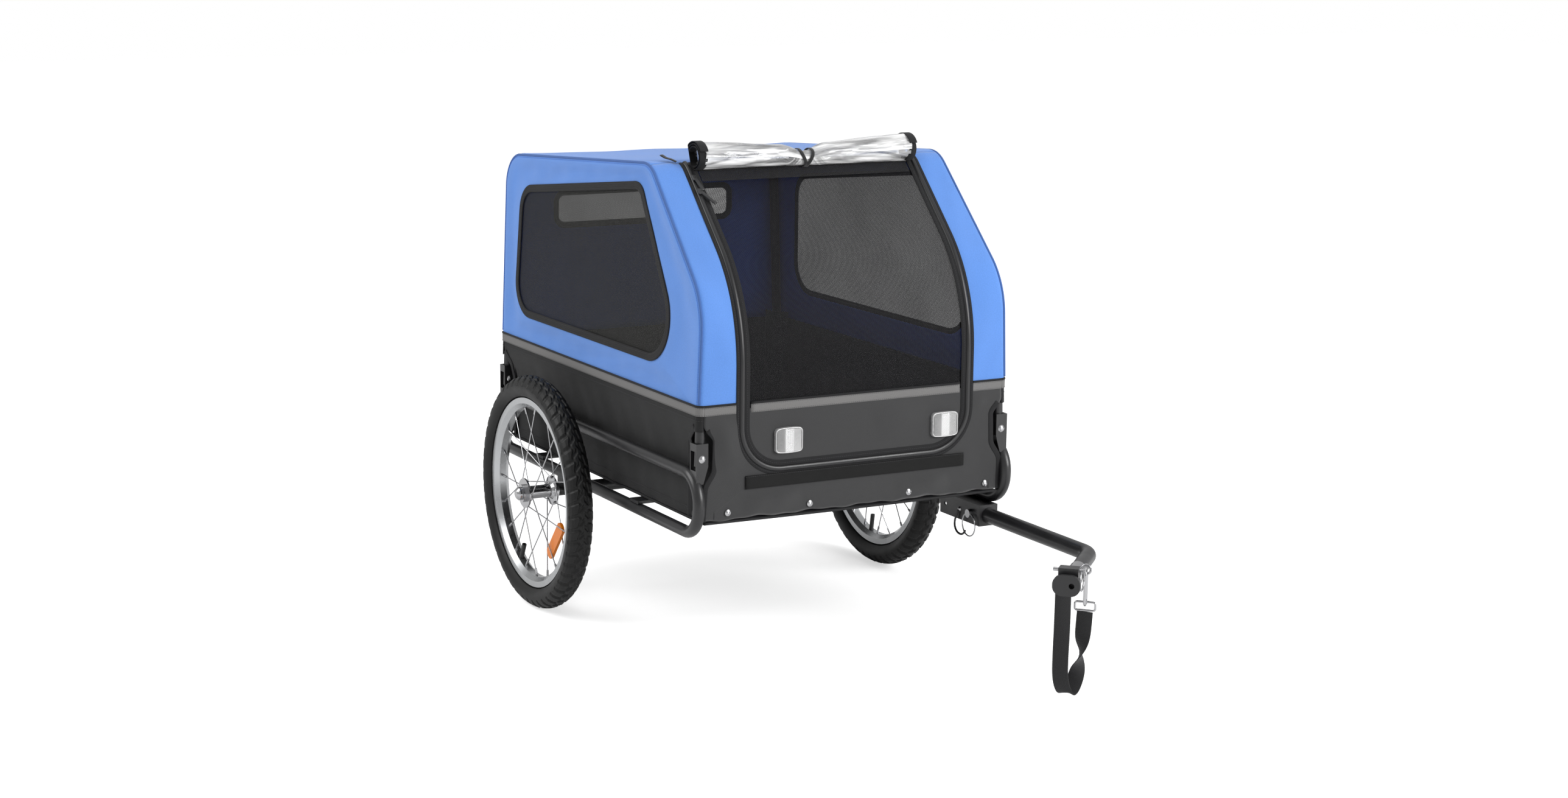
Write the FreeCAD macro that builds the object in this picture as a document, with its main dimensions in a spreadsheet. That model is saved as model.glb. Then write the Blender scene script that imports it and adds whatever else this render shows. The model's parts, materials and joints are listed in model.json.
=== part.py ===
"""Two-wheel dog trailer that is towed by a bicycle: steel side loops, folding hoops, fabric cabin.

+X is the direction of travel, +Y is left and +Z is up. The origin lies on the ground, midway
between the wheels, straight below the axle.
"""
import FreeCAD, Part
import math
import os

import Sketcher
from FreeCAD import Placement, Rotation, Vector

SIZES = {
    # wheels, 16 inch
    "tyre_radius": 197.0,
    "tyre_wall": 3.2,
    "tread_half_width": 17.5,
    "tread_edge_drop": 6.5,
    "sidewall_radius": 20.0,
    "bead_half_width": 10.5,
    "wheel_offset": 335.0,
    "tyre_height": 37.0,
    "rim_seat_depth": 7.0,
    "rim_well_depth": 14.0,
    "rim_gauge": 2.4,
    "rim_base_half_width": 6.0,
    "hub_flange_radius": 25.0,
    "hub_flange_gauge": 3.0,
    "hub_barrel_radius": 11.0,
    "hub_end_radius": 15.0,
    "hub_inner_flange": 29.0,
    "hub_outer_flange": 21.0,
    "hub_end_reach": 7.0,
    "hub_bore_clearance": 1.0,
    "bearing_radius": 12.0,
    "bearing_width": 6.0,
    "axle_radius": 6.0,
    "axle_inset": 45.0,
    "axle_cap_radius": 11.0,
    "axle_cap_length": 9.0,
    "spoke_radius": 1.0,
    "spoke_circle_inset": 3.5,
    "nipple_radius": 2.0,
    "nipple_length": 11.0,
    "tube_section_radius": 13.0,
    "valve_radius": 4.0,
    "valve_length": 38.0,
    "valve_hole_clearance": 0.4,
    "spoke_reflector_length": 92.0,
    "spoke_reflector_width": 21.0,
    "spoke_reflector_gauge": 5.0,
    "spoke_reflector_inset": 39.6,
    # steel chassis
    "loop_tube_radius": 9.5,
    "loop_bend": 45.0,
    "loop_front": 492.0,
    "loop_rear": -282.0,
    "saddle_rise": 25.0,
    "loop_height": 94.0,
    "loop_offset": 279.0,
    "tube_gauge": 1.5,
    "vent_radius": 2.0,
    "cross_tube_radius": 8.0,
    "cross_tube_setback": 16.0,
    "cross_tube_rise": 32.0,
    "axle_beam_radius": 10.5,
    "hub_gap": 2.0,
    "saddle_length": 34.0,
    "floor_bar_width": 30.0,
    "floor_bar_gauge": 5.0,
    "floor_bar_overhang": 6.0,
    "front_bar_place": 275.0,
    "rear_bar_place": -100.0,
    "floor_gauge": 4.0,
    # fold hinges
    "fold_offset": 271.7,
    "fold_rise": 26.0,
    "rivet_radius": 3.0,
    "rivet_head_radius": 6.0,
    "rivet_head_height": 2.5,
    "rivet_clearance": 0.05,
    "bracket_gauge": 2.0,
    "bracket_gap": 0.5,
    "bracket_web_gap": 0.5,
    "bracket_inner_reach": 10.0,
    "bracket_drop": 39.0,
    "bracket_rise": 24.0,
    "bracket_taper": 8.0,
    "bracket_taper_rise": 27.0,
    "window_drop": 18.0,
    "window_rise": 12.0,
    # folding hoops
    "hoop_tube_radius": 8.0,
    "hoop_tail": 12.0,
    "hoop_front": 478.0,
    "hoop_rear": -268.0,
    "hoop_lean": 2.1,
    "knee_rise": 236.0,
    "crest_place": 287.0,
    "crest_rise": 425.0,
    "tail_rise": 388.0,
    "knee_bend": 110.0,
    "crest_bend": 48.0,
    "tail_bend": 50.0,
    "rod_radius": 4.0,
    "rear_rod_place": -150.0,
    # fabric
    "fabric_gauge": 2.0,
    "fabric_gap": 0.3,
    "end_fabric_gap": 0.5,
    "hem_drop": 11.0,
    "fold_gap_below": 6.0,
    "fold_gap_above": 1.0,
    "apron_inset": 15.0,
    "apron_half_width": 258.0,
    "apron_ear_half_width": 278.0,
    "ear_clearance": 6.0,
    "ear_depth": 43.0,
    "window_front_bend": 75.0,
    "window_crest_bend": 35.0,
    "window_tail_bend": 50.0,
    "window_rear_bend": 60.0,
    "mesh_gauge": 1.0,
    "binding_width": 18.0,
    "door_half_width": 200.0,
    "door_drop": 22.0,
    "door_corner": 65.0,
    "door_hinge_gap": 8.0,
    "zip_width": 9.0,
    "zip_gap": 0.4,
    "rear_window_half_width": 180.0,
    "rear_window_drop": 8.0,
    "rear_window_height": 65.0,
    "rear_window_corner": 24.0,
    "roof_half_width": 262.0,
    "reflector_width": 55.0,
    "reflector_height": 40.0,
    "reflector_gauge": 7.0,
    "reflector_corner": 5.0,
    "reflector_rise": 40.0,
    "reflector_right": -124.0,
    "reflector_left": 160.0,
    "hook_strip_half_width": 198.0,
    "hook_strip_rise": 40.0,
    "hook_strip_width": 15.0,
    "hook_strip_gauge": 1.5,
    "hem_rivet_radius": 5.0,
    "hem_rivet_shank": 2.0,
    "hem_rivet_height": 1.5,
    "roll_half_depth": 22.0,
    "roll_half_height": 13.5,
    "roll_half_length": 196.0,
    "roll_setback": 12.0,
    "roll_sink": 1.6,
    "roll_end_length": 9.0,
    "roll_tie_width": 12.0,
    "roll_tie_gauge": 2.0,
    "roll_pinch_reach": 45.0,
    # tow bar
    "receiver_width": 35.0,
    "receiver_gauge": 2.5,
    "receiver_rear": 352.0,
    "receiver_front": 470.0,
    "receiver_offset": 262.0,
    "drain_setback": 16.0,
    "drain_radius": 3.2,
    "cap_length": 12.0,
    "cap_lip": 1.5,
    "bar_radius": 12.5,
    "bar_gauge": 2.0,
    "bar_clearance": 0.3,
    "bar_tail": 12.0,
    "bar_bend_place": 756.0,
    "bar_bend": 40.0,
    "bar_bend_angle": 45.0,
    "bar_stub": 148.0,
    "hitch_pin_radius": 4.0,
    "hitch_pin_place": 446.0,
    "hitch_pin_head": 7.0,
    "hitch_pin_reach": 6.0,
    "hitch_pin_clearance": 0.2,
    "wire_radius": 1.2,
    "hitch_ring_radius": 19.0,
    "screw_place": 412.0,
    "screw_radius": 4.0,
    "screw_head_height": 3.0,
    # coupler, measured forward from the cut end of the bar
    "sleeve_length": 40.0,
    "sleeve_gauge": 1.2,
    "rubber_length": 12.0,
    "rubber_radius": 15.5,
    "stub_radius": 10.0,
    "stub_length": 20.0,
    "neck_length": 34.0,
    "neck_radius": 14.0,
    "plate_width": 42.0,
    "plate_height": 32.0,
    "plate_gauge": 7.0,
    "plate_hole_radius": 4.25,
    "plate_hole_offset": 8.0,
    "swivel_gap": 0.3,
    "lug_width": 30.0,
    "lug_height": 9.0,
    "lug_length": 20.0,
    "coupler_pin_radius": 3.0,
    "coupler_pin_overhang": 9.0,
    "coupler_pin_clearance": 0.15,
    "coupler_ring_radius": 15.0,
    # safety strap
    "strap_width": 25.0,
    "strap_gauge": 2.0,
    "anchor_gauge": 2.0,
    "anchor_drop": 7.0,
    "eye_radius": 7.0,
    "eye_wire": 2.0,
    "hook_width": 13.0,
    "hook_length": 52.0,
    "dring_width": 31.0,
    "dring_height": 13.0,
    "dring_wire": 1.75,
    "hook_wire": 2.25,
    "overrun": 1.0,
}

WINDOW_SHARES = ((0.956, 0.148), (0.718, 0.938), (0.083, 0.781), (0.062, 0.142))
HEM_RIVET_SHARES = (-0.88, -0.32, 0.38, 0.94)
ROLL_PINCH_SHARE = 0.72
CREST_SINK_SHARE = 0.1
PLATE_CORNER_SHARE = 0.9
HOOK_CORNER_SHARE = 0.9
STRAP_TAB_SHARE = 0.56
STRAP_ARC_SHARE = 0.45
REFLECTOR_END_SHARE = 1.2
TAB_EDGE_SHARE = 0.25
TAB_TOP_SHARE = 0.5
SPOKES = 20
SPOKE_LEAD = 60
VALVE_ANGLES = {"right": -117, "left": -99}
REFLECTOR_ANGLES = {"right": -40, "left": -148}
SIDES = {"right": -1, "left": 1}

doc = FreeCAD.newDocument("dog_bike_trailer")
sheet = doc.addObject("Spreadsheet::Sheet", "Sizes")
for row, (name, value) in enumerate(SIZES.items(), start=1):
    sheet.set("A%d" % row, name)
    sheet.set("B%d" % row, str(value))
    sheet.setAlias("B%d" % row, name)
doc.recompute()


class Size:
    """A length with its value now and the sheet expression that gives it."""

    def __init__(self, value, text):
        self.value = value
        self.text = text

    def __float__(self):
        return float(self.value)

    def joined(self, other, sign, value):
        return Size(value, "(%s %s %s)" % (self.text, sign, words(other)))

    def __add__(self, other):
        return self.joined(other, "+", self.value + float(other))

    def __sub__(self, other):
        return self.joined(other, "-", self.value - float(other))

    def __mul__(self, other):
        return self.joined(other, "*", self.value * float(other))

    def __truediv__(self, other):
        return self.joined(other, "/", self.value / float(other))

    def __neg__(self):
        return Size(-self.value, "(-1 * %s)" % self.text)

    __radd__ = __add__
    __rmul__ = __mul__


class Named:
    """Each cell of the sheet as a Size, by its alias."""

    def __getattr__(self, name):
        return Size(float(getattr(sheet, name)), "Sizes.%s" % name)


S = Named()
parts = []


def words(number):
    """The expression text of a Size or a plain count."""
    return number.text if isinstance(number, Size) else str(number)


def bind(thing, prop, size):
    """Ties a property of a document object to the sheet."""
    thing.setExpression(prop, words(size))


def place(thing, x=0, y=0, z=0, turn=None):
    """Puts an object at a place that stays tied to the sheet."""
    thing.Placement = Placement(Vector(float(x), float(y), float(z)), turn or Rotation())
    for axis, size in zip("xyz", (x, y, z)):
        if isinstance(size, Size):
            bind(thing, "Placement.Base.%s" % axis, size)


def keep(thing, label):
    """Names a finished sub-part."""
    thing.Label = label
    parts.append(thing)
    return thing


def shaped(label, shape):
    """A sub-part whose solid is worked out from the sheet's sizes."""
    thing = doc.addObject("Part::Feature", label)
    thing.Shape = shape
    return keep(thing, label)


def origin_plane(body, role):
    return next(item for item in body.Origin.OriginFeatures if item.Role == role)


def pin(sketch, line, end, kind, size):
    """Ties one coordinate of a sketch point to the sheet."""
    if isinstance(size, Size):
        index = sketch.addConstraint(Sketcher.Constraint(kind, -1, 1, line, end, float(size)))
        name = "%s_%d" % (kind, index)
        sketch.renameConstraint(index, name)
        sketch.setExpression("Constraints.%s" % name, size.text)
    else:
        axis = -2 if kind == "DistanceX" else -1
        sketch.addConstraint(Sketcher.Constraint("PointOnObject", line, end, axis))


def outline(body, role, points):
    """Closed sketch through points (across, up) or, where an arc follows, (across, up, radius).

    An arc bulges to the left of the way round, so outlines run clockwise.
    """
    sketch = body.newObject("Sketcher::SketchObject", body.Name + "_outline")
    sketch.AttachmentSupport = [(origin_plane(body, role), "")]
    sketch.MapMode = "FlatFace"
    corners = [Vector(float(point[0]), float(point[1]), 0) for point in points]
    ends = []
    for index, point in enumerate(points):
        start = corners[index]
        finish = corners[(index + 1) % len(corners)]
        if len(point) == 2:
            sketch.addGeometry(Part.LineSegment(start, finish), False)
            ends.append((1, 2))
            continue
        way = finish - start
        left = Vector(-way.y, way.x, 0).normalize()
        rise = math.sqrt(float(point[2]) ** 2 - (way.Length / 2) ** 2)
        centre = (start + finish) * 0.5 - left * rise
        circle = Part.Circle(centre, Vector(0, 0, 1), float(point[2]))
        first = math.atan2(finish.y - centre.y, finish.x - centre.x)
        last = math.atan2(start.y - centre.y, start.x - centre.x)
        sketch.addGeometry(Part.ArcOfCircle(circle, first, last), False)
        ends.append((2, 1))
    for index, point in enumerate(points):
        following = (index + 1) % len(points)
        sketch.addConstraint(Sketcher.Constraint(
            "Coincident", index, ends[index][1], following, ends[following][0]))
        pin(sketch, index, ends[index][0], "DistanceX", point[0])
        pin(sketch, index, ends[index][0], "DistanceY", point[1])
        if len(point) == 3:
            radius = sketch.addConstraint(Sketcher.Constraint("Radius", index, float(point[2])))
            name = "Radius_%d" % radius
            sketch.renameConstraint(radius, name)
            sketch.setExpression("Constraints.%s" % name, point[2].text)
    return sketch


def turned(label, points):
    """A body turned about the Y axis from points (along the axis, radius)."""
    body = doc.addObject("PartDesign::Body", label)
    sketch = outline(body, "YZ_Plane", points)
    turn = body.newObject("PartDesign::Revolution", label + "_turn")
    turn.Profile = sketch
    turn.ReferenceAxis = (sketch, ["H_Axis"])
    turn.Angle = 360
    return body


def padded(label, role, points, length):
    """A body pushed out of an origin plane by a length."""
    body = doc.addObject("PartDesign::Body", label)
    pad = body.newObject("PartDesign::Pad", label + "_pad")
    pad.Profile = outline(body, role, points)
    bind(pad, "Length", length)
    return body


def rod(start, finish, radius):
    """Round bar between two points."""
    way = finish - start
    return Part.makeCylinder(float(radius), way.Length, start, way)


def block(low, high):
    """Box between two corners."""
    span = [float(b) - float(a) for a, b in zip(low, high)]
    return Part.makeBox(*span, Vector(*[float(a) for a in low]))


def rounded_path(points, bends, closed=False):
    """Straight runs joined by tangent arcs, with one bend radius for each corner."""
    count = len(points)
    corners = range(count) if closed else range(1, count - 1)
    edges = []
    last = None
    first = None
    for corner in corners:
        here = points[corner]
        back = (points[corner - 1] - here).normalize()
        ahead = (points[(corner + 1) % count] - here).normalize()
        half = (math.pi - back.getAngle(ahead)) / 2
        bend = float(bends[(corner - corners[0]) % len(bends)])
        trim = bend * math.tan(half)
        enter = here + back * trim
        leave = here + ahead * trim
        inner = (back + ahead).normalize()
        middle = here + inner * (bend / math.cos(half) - bend)
        if last is None:
            first = enter
            last = enter if closed else points[0]
        if (enter - last).Length > 0:
            edges.append(Part.LineSegment(last, enter).toShape())
        edges.append(Part.Arc(enter, middle, leave).toShape())
        last = leave
    edges.append(Part.LineSegment(last, first if closed else points[-1]).toShape())
    return Part.Wire(edges)


def round_bar(path, radius):
    """Solid round bar along a path."""
    edge = path.OrderedEdges[0]
    start = edge.valueAt(edge.FirstParameter)
    circle = Part.makeCircle(float(radius), start, edge.tangentAt(edge.FirstParameter))
    ring = path.isClosed()
    skin = path.makePipeShell([Part.Wire(circle)], not ring, False)
    return Part.Solid(Part.Shell(skin.Faces)) if ring else skin


def mirrored(shape):
    """The same shape on the other side of the middle plane."""
    return shape.mirror(Vector(0, 0, 0), Vector(0, 1, 0))


def sided(shape, side):
    """A shape drawn for the left, on the side asked for."""
    return shape if side > 0 else mirrored(shape)


# Wheels, drawn about the Y axis with +Y pointing outboard
rim_flange = S.tyre_radius - S.tyre_height
bead_low = rim_flange - S.rim_seat_depth
tread_edge = S.tyre_radius - S.tread_edge_drop
crown_radius = (S.tread_half_width * S.tread_half_width + S.tread_edge_drop * S.tread_edge_drop) / (
    2 * S.tread_edge_drop)
bead_inner = S.bead_half_width - S.tyre_wall
liner_edge = S.tread_half_width - S.tyre_wall / 2
rim_side = S.bead_half_width + S.fabric_gap
rim_outer = rim_side + S.rim_gauge
rim_seat = bead_low - S.fabric_gap
rim_well = rim_flange - S.rim_well_depth
rim_base = rim_well - S.rim_gauge
spoke_reflector_radius = rim_base - S.spoke_reflector_inset
hub_inner_end = S.hub_inner_flange + S.hub_end_reach
hub_outer_end = S.hub_outer_flange + S.hub_end_reach
hub_bore = S.axle_radius + S.hub_bore_clearance
half_flange = S.hub_flange_gauge / 2
hub_taper = S.hub_end_radius - S.hub_barrel_radius

TYRE = [
    (-S.bead_half_width, bead_low), (-S.bead_half_width, rim_flange, S.sidewall_radius),
    (-S.tread_half_width, tread_edge, crown_radius), (S.tread_half_width, tread_edge, S.sidewall_radius),
    (S.bead_half_width, rim_flange), (S.bead_half_width, bead_low), (bead_inner, bead_low),
    (bead_inner, rim_flange), (liner_edge, rim_flange + S.rim_seat_depth),
    (liner_edge, tread_edge - S.tyre_wall), (-liner_edge, tread_edge - S.tyre_wall),
    (-liner_edge, rim_flange + S.rim_seat_depth), (-bead_inner, rim_flange),
    (-bead_inner, bead_low)]
RIM = [
    (-rim_outer, rim_seat - S.rim_gauge), (-rim_outer, rim_flange),
    (-rim_side, rim_flange), (-rim_side, rim_seat), (-S.rim_base_half_width, rim_well),
    (S.rim_base_half_width, rim_well), (rim_side, rim_seat), (rim_side, rim_flange),
    (rim_outer, rim_flange), (rim_outer, rim_seat - S.rim_gauge),
    (S.rim_base_half_width, rim_base), (-S.rim_base_half_width, rim_base)]
HUB = [
    (-hub_inner_end, S.bearing_radius), (-hub_inner_end, S.hub_end_radius),
    (-S.hub_inner_flange - half_flange, S.hub_end_radius),
    (-S.hub_inner_flange - half_flange, S.hub_flange_radius),
    (-S.hub_inner_flange + half_flange, S.hub_flange_radius),
    (-S.hub_inner_flange + half_flange, S.hub_end_radius),
    (-S.hub_inner_flange + half_flange + hub_taper, S.hub_barrel_radius),
    (S.hub_outer_flange - half_flange - hub_taper, S.hub_barrel_radius),
    (S.hub_outer_flange - half_flange, S.hub_end_radius),
    (S.hub_outer_flange - half_flange, S.hub_flange_radius),
    (S.hub_outer_flange + half_flange, S.hub_flange_radius),
    (S.hub_outer_flange + half_flange, S.hub_end_radius),
    (hub_outer_end, S.hub_end_radius), (hub_outer_end, S.bearing_radius),
    (hub_outer_end - S.bearing_width, S.bearing_radius), (hub_outer_end - S.bearing_width, hub_bore),
    (S.bearing_width - hub_inner_end, hub_bore), (S.bearing_width - hub_inner_end, S.bearing_radius)]
cap_face = hub_outer_end + S.fabric_gap
cap_end = cap_face + S.axle_cap_length
beam_end = S.wheel_offset - hub_inner_end - S.hub_gap
axle_tail = beam_end - S.axle_inset - S.wheel_offset
AXLE = [
    (axle_tail, 0), (axle_tail, S.axle_radius), (cap_face, S.axle_radius),
    (cap_face, S.axle_cap_radius), (cap_face + S.axle_cap_length / 2, S.axle_cap_radius, S.axle_cap_radius),
    (cap_end, S.axle_radius), (cap_end, 0)]
half_reflector = S.spoke_reflector_width / 2
reflector_run = S.spoke_reflector_length / 2 - half_reflector
SPOKE_REFLECTOR = [
    (-reflector_run, -half_reflector, half_reflector * REFLECTOR_END_SHARE),
    (-reflector_run, half_reflector), (reflector_run, half_reflector, half_reflector * REFLECTOR_END_SHARE),
    (reflector_run, -half_reflector)]


def around(radius, degrees, along):
    """A point of the wheel at a radius and an angle, with +Y outboard."""
    angle = math.radians(degrees)
    return Vector(float(radius) * math.cos(angle), float(along), float(radius) * math.sin(angle))


def spoke_set():
    """Crossed spokes from both hub flanges to the rim, each with its nipple."""
    spokes = []
    lift = half_flange + S.spoke_radius + S.rivet_clearance
    for index in range(SPOKES):
        rim_angle = 360 * index / SPOKES
        lead = SPOKE_LEAD if (index // 2) % 2 else -SPOKE_LEAD
        foot = S.hub_outer_flange - lift if index % 2 else -S.hub_inner_flange + lift
        head = around(S.hub_flange_radius - S.spoke_circle_inset, rim_angle + lead, foot)
        tip = around(rim_base - S.rivet_clearance, rim_angle, 0)
        way = (tip - head).normalize()
        nipple = rod(tip - way * float(S.nipple_length), tip, S.nipple_radius)
        collar = Part.makeCylinder(float(rim_base), float(2 * hub_inner_end),
                                   Vector(0, float(-hub_inner_end), 0), Vector(0, 1, 0))
        spokes.append(rod(head, tip, S.spoke_radius).fuse(nipple).common(collar).removeSplitter())
    return Part.makeCompound(spokes)


def bearing_pair():
    """A ball bearing in each end of the hub, as plain shielded rings."""
    rings = []
    for start in (-hub_inner_end, hub_outer_end - S.bearing_width):
        base = Vector(0, float(start), 0)
        ring = Part.makeCylinder(float(S.bearing_radius), float(S.bearing_width), base, Vector(0, 1, 0))
        bore = Part.makeCylinder(float(S.axle_radius + S.rivet_clearance), float(S.bearing_width), base,
                                 Vector(0, 1, 0))
        rings.append(ring.cut(bore))
    return Part.makeCompound(rings)


def inner_tube(angle):
    """Air tube with its valve stem through the rim."""
    axis = Vector(0, 1, 0)
    major = float(tread_edge - S.tyre_wall - S.fabric_gap - S.tube_section_radius)
    skin = Part.makeTorus(major, float(S.tube_section_radius), Vector(0, 0, 0), axis)
    hollow = Part.makeTorus(major, float(S.tube_section_radius - S.tube_gauge), Vector(0, 0, 0), axis)
    top = around(major, angle, 0)
    end = around(bead_low - S.valve_length, angle, 0)
    stem = rod(top, end, S.valve_radius)
    return skin.fuse(stem).cut(hollow).cut(rod(top, end, S.vent_radius))


axles = []
for name, side in SIDES.items():
    facing = Rotation(Vector(0, 0, 1), 0 if side > 0 else 180)
    spot = (0, S.wheel_offset * side, S.tyre_radius)
    place(keep(turned("tyre_" + name, TYRE), "tyre_" + name), *spot, facing)
    place(keep(turned("hub_shell_" + name, HUB), "hub_shell_" + name), *spot, facing)
    axles.append(turned("axle_" + name, AXLE))
    place(axles[-1], *spot, facing)
    place(shaped("spokes_" + name, spoke_set()), *spot, facing)
    place(shaped("hub_bearings_" + name, bearing_pair()), *spot, facing)
    place(shaped("inner_tube_" + name, inner_tube(VALVE_ANGLES[name])), *spot)

    hoop = turned("rim_hoop_" + name, RIM)
    drill = doc.addObject("Part::Cylinder", "valve_drill_" + name)
    bind(drill, "Radius", S.valve_radius + S.valve_hole_clearance)
    bind(drill, "Height", rim_flange)
    drill.Placement = Placement(Vector(0, 0, 0), Rotation(Vector(0, 1, 0), 90 - VALVE_ANGLES[name]))
    rim = doc.addObject("Part::Cut", "rim_" + name)
    rim.Base = hoop
    rim.Tool = drill
    place(keep(rim, "rim_" + name), *spot)

    angle = REFLECTOR_ANGLES[name]
    plate = padded("spoke_reflector_" + name, "XZ_Plane", SPOKE_REFLECTOR, S.spoke_reflector_gauge)
    lever = math.radians(angle)
    place(keep(plate, "spoke_reflector_" + name),
          spoke_reflector_radius * math.cos(lever),
          S.wheel_offset * side + S.spoke_reflector_gauge / 2,
          S.tyre_radius + spoke_reflector_radius * math.sin(lever),
          Rotation(Vector(0, 1, 0), -90 - angle))

pair = doc.addObject("Part::Compound", "wheel_axles")
pair.Links = axles
keep(pair, "wheel_axles")

# Steel chassis


def across(x, z, reach, radius):
    """Round bar across the trailer, as far to the left as to the right."""
    ends = [Vector(float(x), float(reach) * way, float(z)) for way in (-1, 1)]
    return rod(*ends, radius)


def loop_path(side):
    y = float(S.loop_offset) * side
    points = [Vector(float(x), y, float(z)) for x, z in (
        (S.loop_front, loop_low), (S.loop_front, loop_high),
        (S.loop_rear, loop_high), (S.loop_rear, loop_low))]
    return rounded_path(points, [S.loop_bend], closed=True)


loop_low = S.tyre_radius + S.saddle_rise
loop_high = loop_low + S.loop_height
cross_tube_height = loop_low + S.cross_tube_rise
hem_height = cross_tube_height - S.hem_drop
hook_strip_low = cross_tube_height + S.hook_strip_rise
loops = {}
for name, side in SIDES.items():
    path = loop_path(side)
    vent = rod(Vector(0, float(S.loop_offset) * side, float(loop_low)),
               Vector(0, float(S.loop_offset) * side, float(loop_low - S.loop_tube_radius - S.overrun)),
               S.vent_radius)
    loops[name] = round_bar(path, S.loop_tube_radius)
    hollow = round_bar(path, S.loop_tube_radius - S.tube_gauge)
    shaped("side_loop_" + name, loops[name].cut(hollow).cut(vent))

cross_tubes = []
for x in (S.loop_front - S.cross_tube_setback, S.loop_rear + S.cross_tube_setback):
    outer = across(x, cross_tube_height, S.loop_offset, S.cross_tube_radius)
    bore = across(x, cross_tube_height, S.loop_offset, S.cross_tube_radius - S.tube_gauge)
    cross_tubes.append(outer.cut(bore).cut(loops["right"]).cut(loops["left"]))
shaped("cross_tubes", Part.makeCompound(cross_tubes))

beam = across(0, S.tyre_radius, beam_end, S.axle_beam_radius)
socket = across(0, S.tyre_radius, beam_end, S.axle_radius + S.rivet_clearance)
middle = across(0, S.tyre_radius, beam_end - S.axle_inset, S.axle_beam_radius - S.tube_gauge)
shaped("axle_beam", beam.cut(socket).cut(middle))
saddles = []
for name, side in SIDES.items():
    y = S.loop_offset * side
    web = block((-S.saddle_length / 2, y - S.loop_tube_radius, S.tyre_radius),
                (S.saddle_length / 2, y + S.loop_tube_radius, loop_low))
    saddles.append(web.cut(beam).cut(loops[name]))
shaped("axle_saddles", Part.makeCompound(saddles))

bar_low = loop_low + S.loop_tube_radius
bars = []
for x in (S.front_bar_place, S.rear_bar_place):
    reach = S.loop_offset + S.floor_bar_overhang
    bars.append(block((x - S.floor_bar_width / 2, -reach, bar_low),
                      (x + S.floor_bar_width / 2, reach, bar_low + S.floor_bar_gauge)))
shaped("floor_bars", Part.makeCompound(bars))

floor_low = bar_low + S.floor_bar_gauge
apron_outer = S.loop_offset - S.loop_tube_radius - S.fabric_gap
apron_inner = apron_outer - S.fabric_gauge
floor_front = S.hoop_front - S.apron_inset
floor_rear = S.hoop_rear + S.apron_inset
shaped("floor_panel", block((floor_rear, S.fabric_gap - apron_inner, floor_low),
                            (floor_front, apron_inner - S.fabric_gap, floor_low + S.floor_gauge)))

# Fold hinges: a channel on each corner of the side loops, with a rivet for the hoop
fold_height = loop_high + S.fold_rise
door_bottom = fold_height - S.door_drop


def dome(base, axis, radius, height):
    """Round head on a face, turned from a quarter of its section."""
    r, h = float(radius), float(height)
    ball = (r * r + h * h) / (2 * h)
    half = math.asin(min(1, r / ball)) / 2
    rim, top = Vector(r, 0, 0), Vector(0, 0, h)
    middle = Vector(ball * math.sin(half), 0, h - ball + ball * math.cos(half))
    section = Part.Wire([Part.LineSegment(Vector(0, 0, 0), rim).toShape(),
                         Part.Arc(rim, middle, top).toShape(),
                         Part.LineSegment(top, Vector(0, 0, 0)).toShape()])
    head = Part.Face(section).revolve(Vector(0, 0, 0), Vector(0, 0, 1), 360)
    head.Placement = Placement(base, Rotation(Vector(0, 0, 1), axis))
    return head


def bracket(x, name, side):
    """Channel open to the inside, with a window in its web for the hoop's tail."""
    plate = S.hoop_tube_radius + S.bracket_gap
    face = plate + S.bracket_gauge
    web = S.fold_offset + S.hoop_tube_radius + S.bracket_web_gap
    low = fold_height - S.bracket_drop
    high = fold_height + S.bracket_rise
    inner = S.fold_offset - S.bracket_inner_reach
    channel = block((x - face, inner, low), (x + face, web + S.bracket_gauge, high))
    channel = channel.cut(block((x - plate, inner - S.overrun, low - S.overrun),
                                (x + plate, web, high + S.overrun)))
    channel = channel.cut(block((x - plate, web - S.overrun, fold_height - S.window_drop),
                                (x + plate, web + S.bracket_gauge + S.overrun,
                                 fold_height + S.window_rise)))
    slope = [Vector(float(x - face), float(inner + a), float(low + b)) for a, b in (
        (0, 0), (S.bracket_taper, 0), (0, S.bracket_taper_rise), (0, 0))]
    wedge = Part.Face(Part.makePolygon(slope)).extrude(Vector(float(face * 2), 0, 0))
    channel = channel.cut(wedge)
    hole = rod(Vector(float(x - face), float(S.fold_offset), float(fold_height)),
               Vector(float(x + face), float(S.fold_offset), float(fold_height)),
               S.rivet_radius + S.rivet_clearance)
    return sided(channel.cut(hole), side).cut(loops[name])


def rivet(x, side):
    """Rivet along X with a round head on each plate."""
    face = float(S.hoop_tube_radius + S.bracket_gap + S.bracket_gauge)
    centre = Vector(float(x), float(S.fold_offset) * side, float(fold_height))
    ahead = Vector(1, 0, 0)
    shaft = rod(centre - ahead * face, centre + ahead * face, S.rivet_radius)
    for way in (ahead, ahead * -1):
        shaft = shaft.fuse(dome(centre + way * face, way, S.rivet_head_radius, S.rivet_head_height))
    return shaft


corners = [(x, name, side) for x in (S.hoop_front, S.hoop_rear) for name, side in SIDES.items()]
shaped("hinge_brackets", Part.makeCompound([bracket(*corner) for corner in corners]))
shaped("hinge_rivets", Part.makeCompound([rivet(x, side) for x, name, side in corners]))

# Folding hoops, drawn from the fold axis up and then leaned inwards
HOOP = [(S.hoop_front, -S.hoop_tail), (S.hoop_front, S.knee_rise), (S.crest_place, S.crest_rise),
        (S.hoop_rear, S.tail_rise), (S.hoop_rear, -S.hoop_tail)]
HOOP_BENDS = [S.knee_bend, S.crest_bend, S.tail_bend]


def upright(points):
    return [Vector(float(x), 0, float(z)) for x, z in points]


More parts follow.
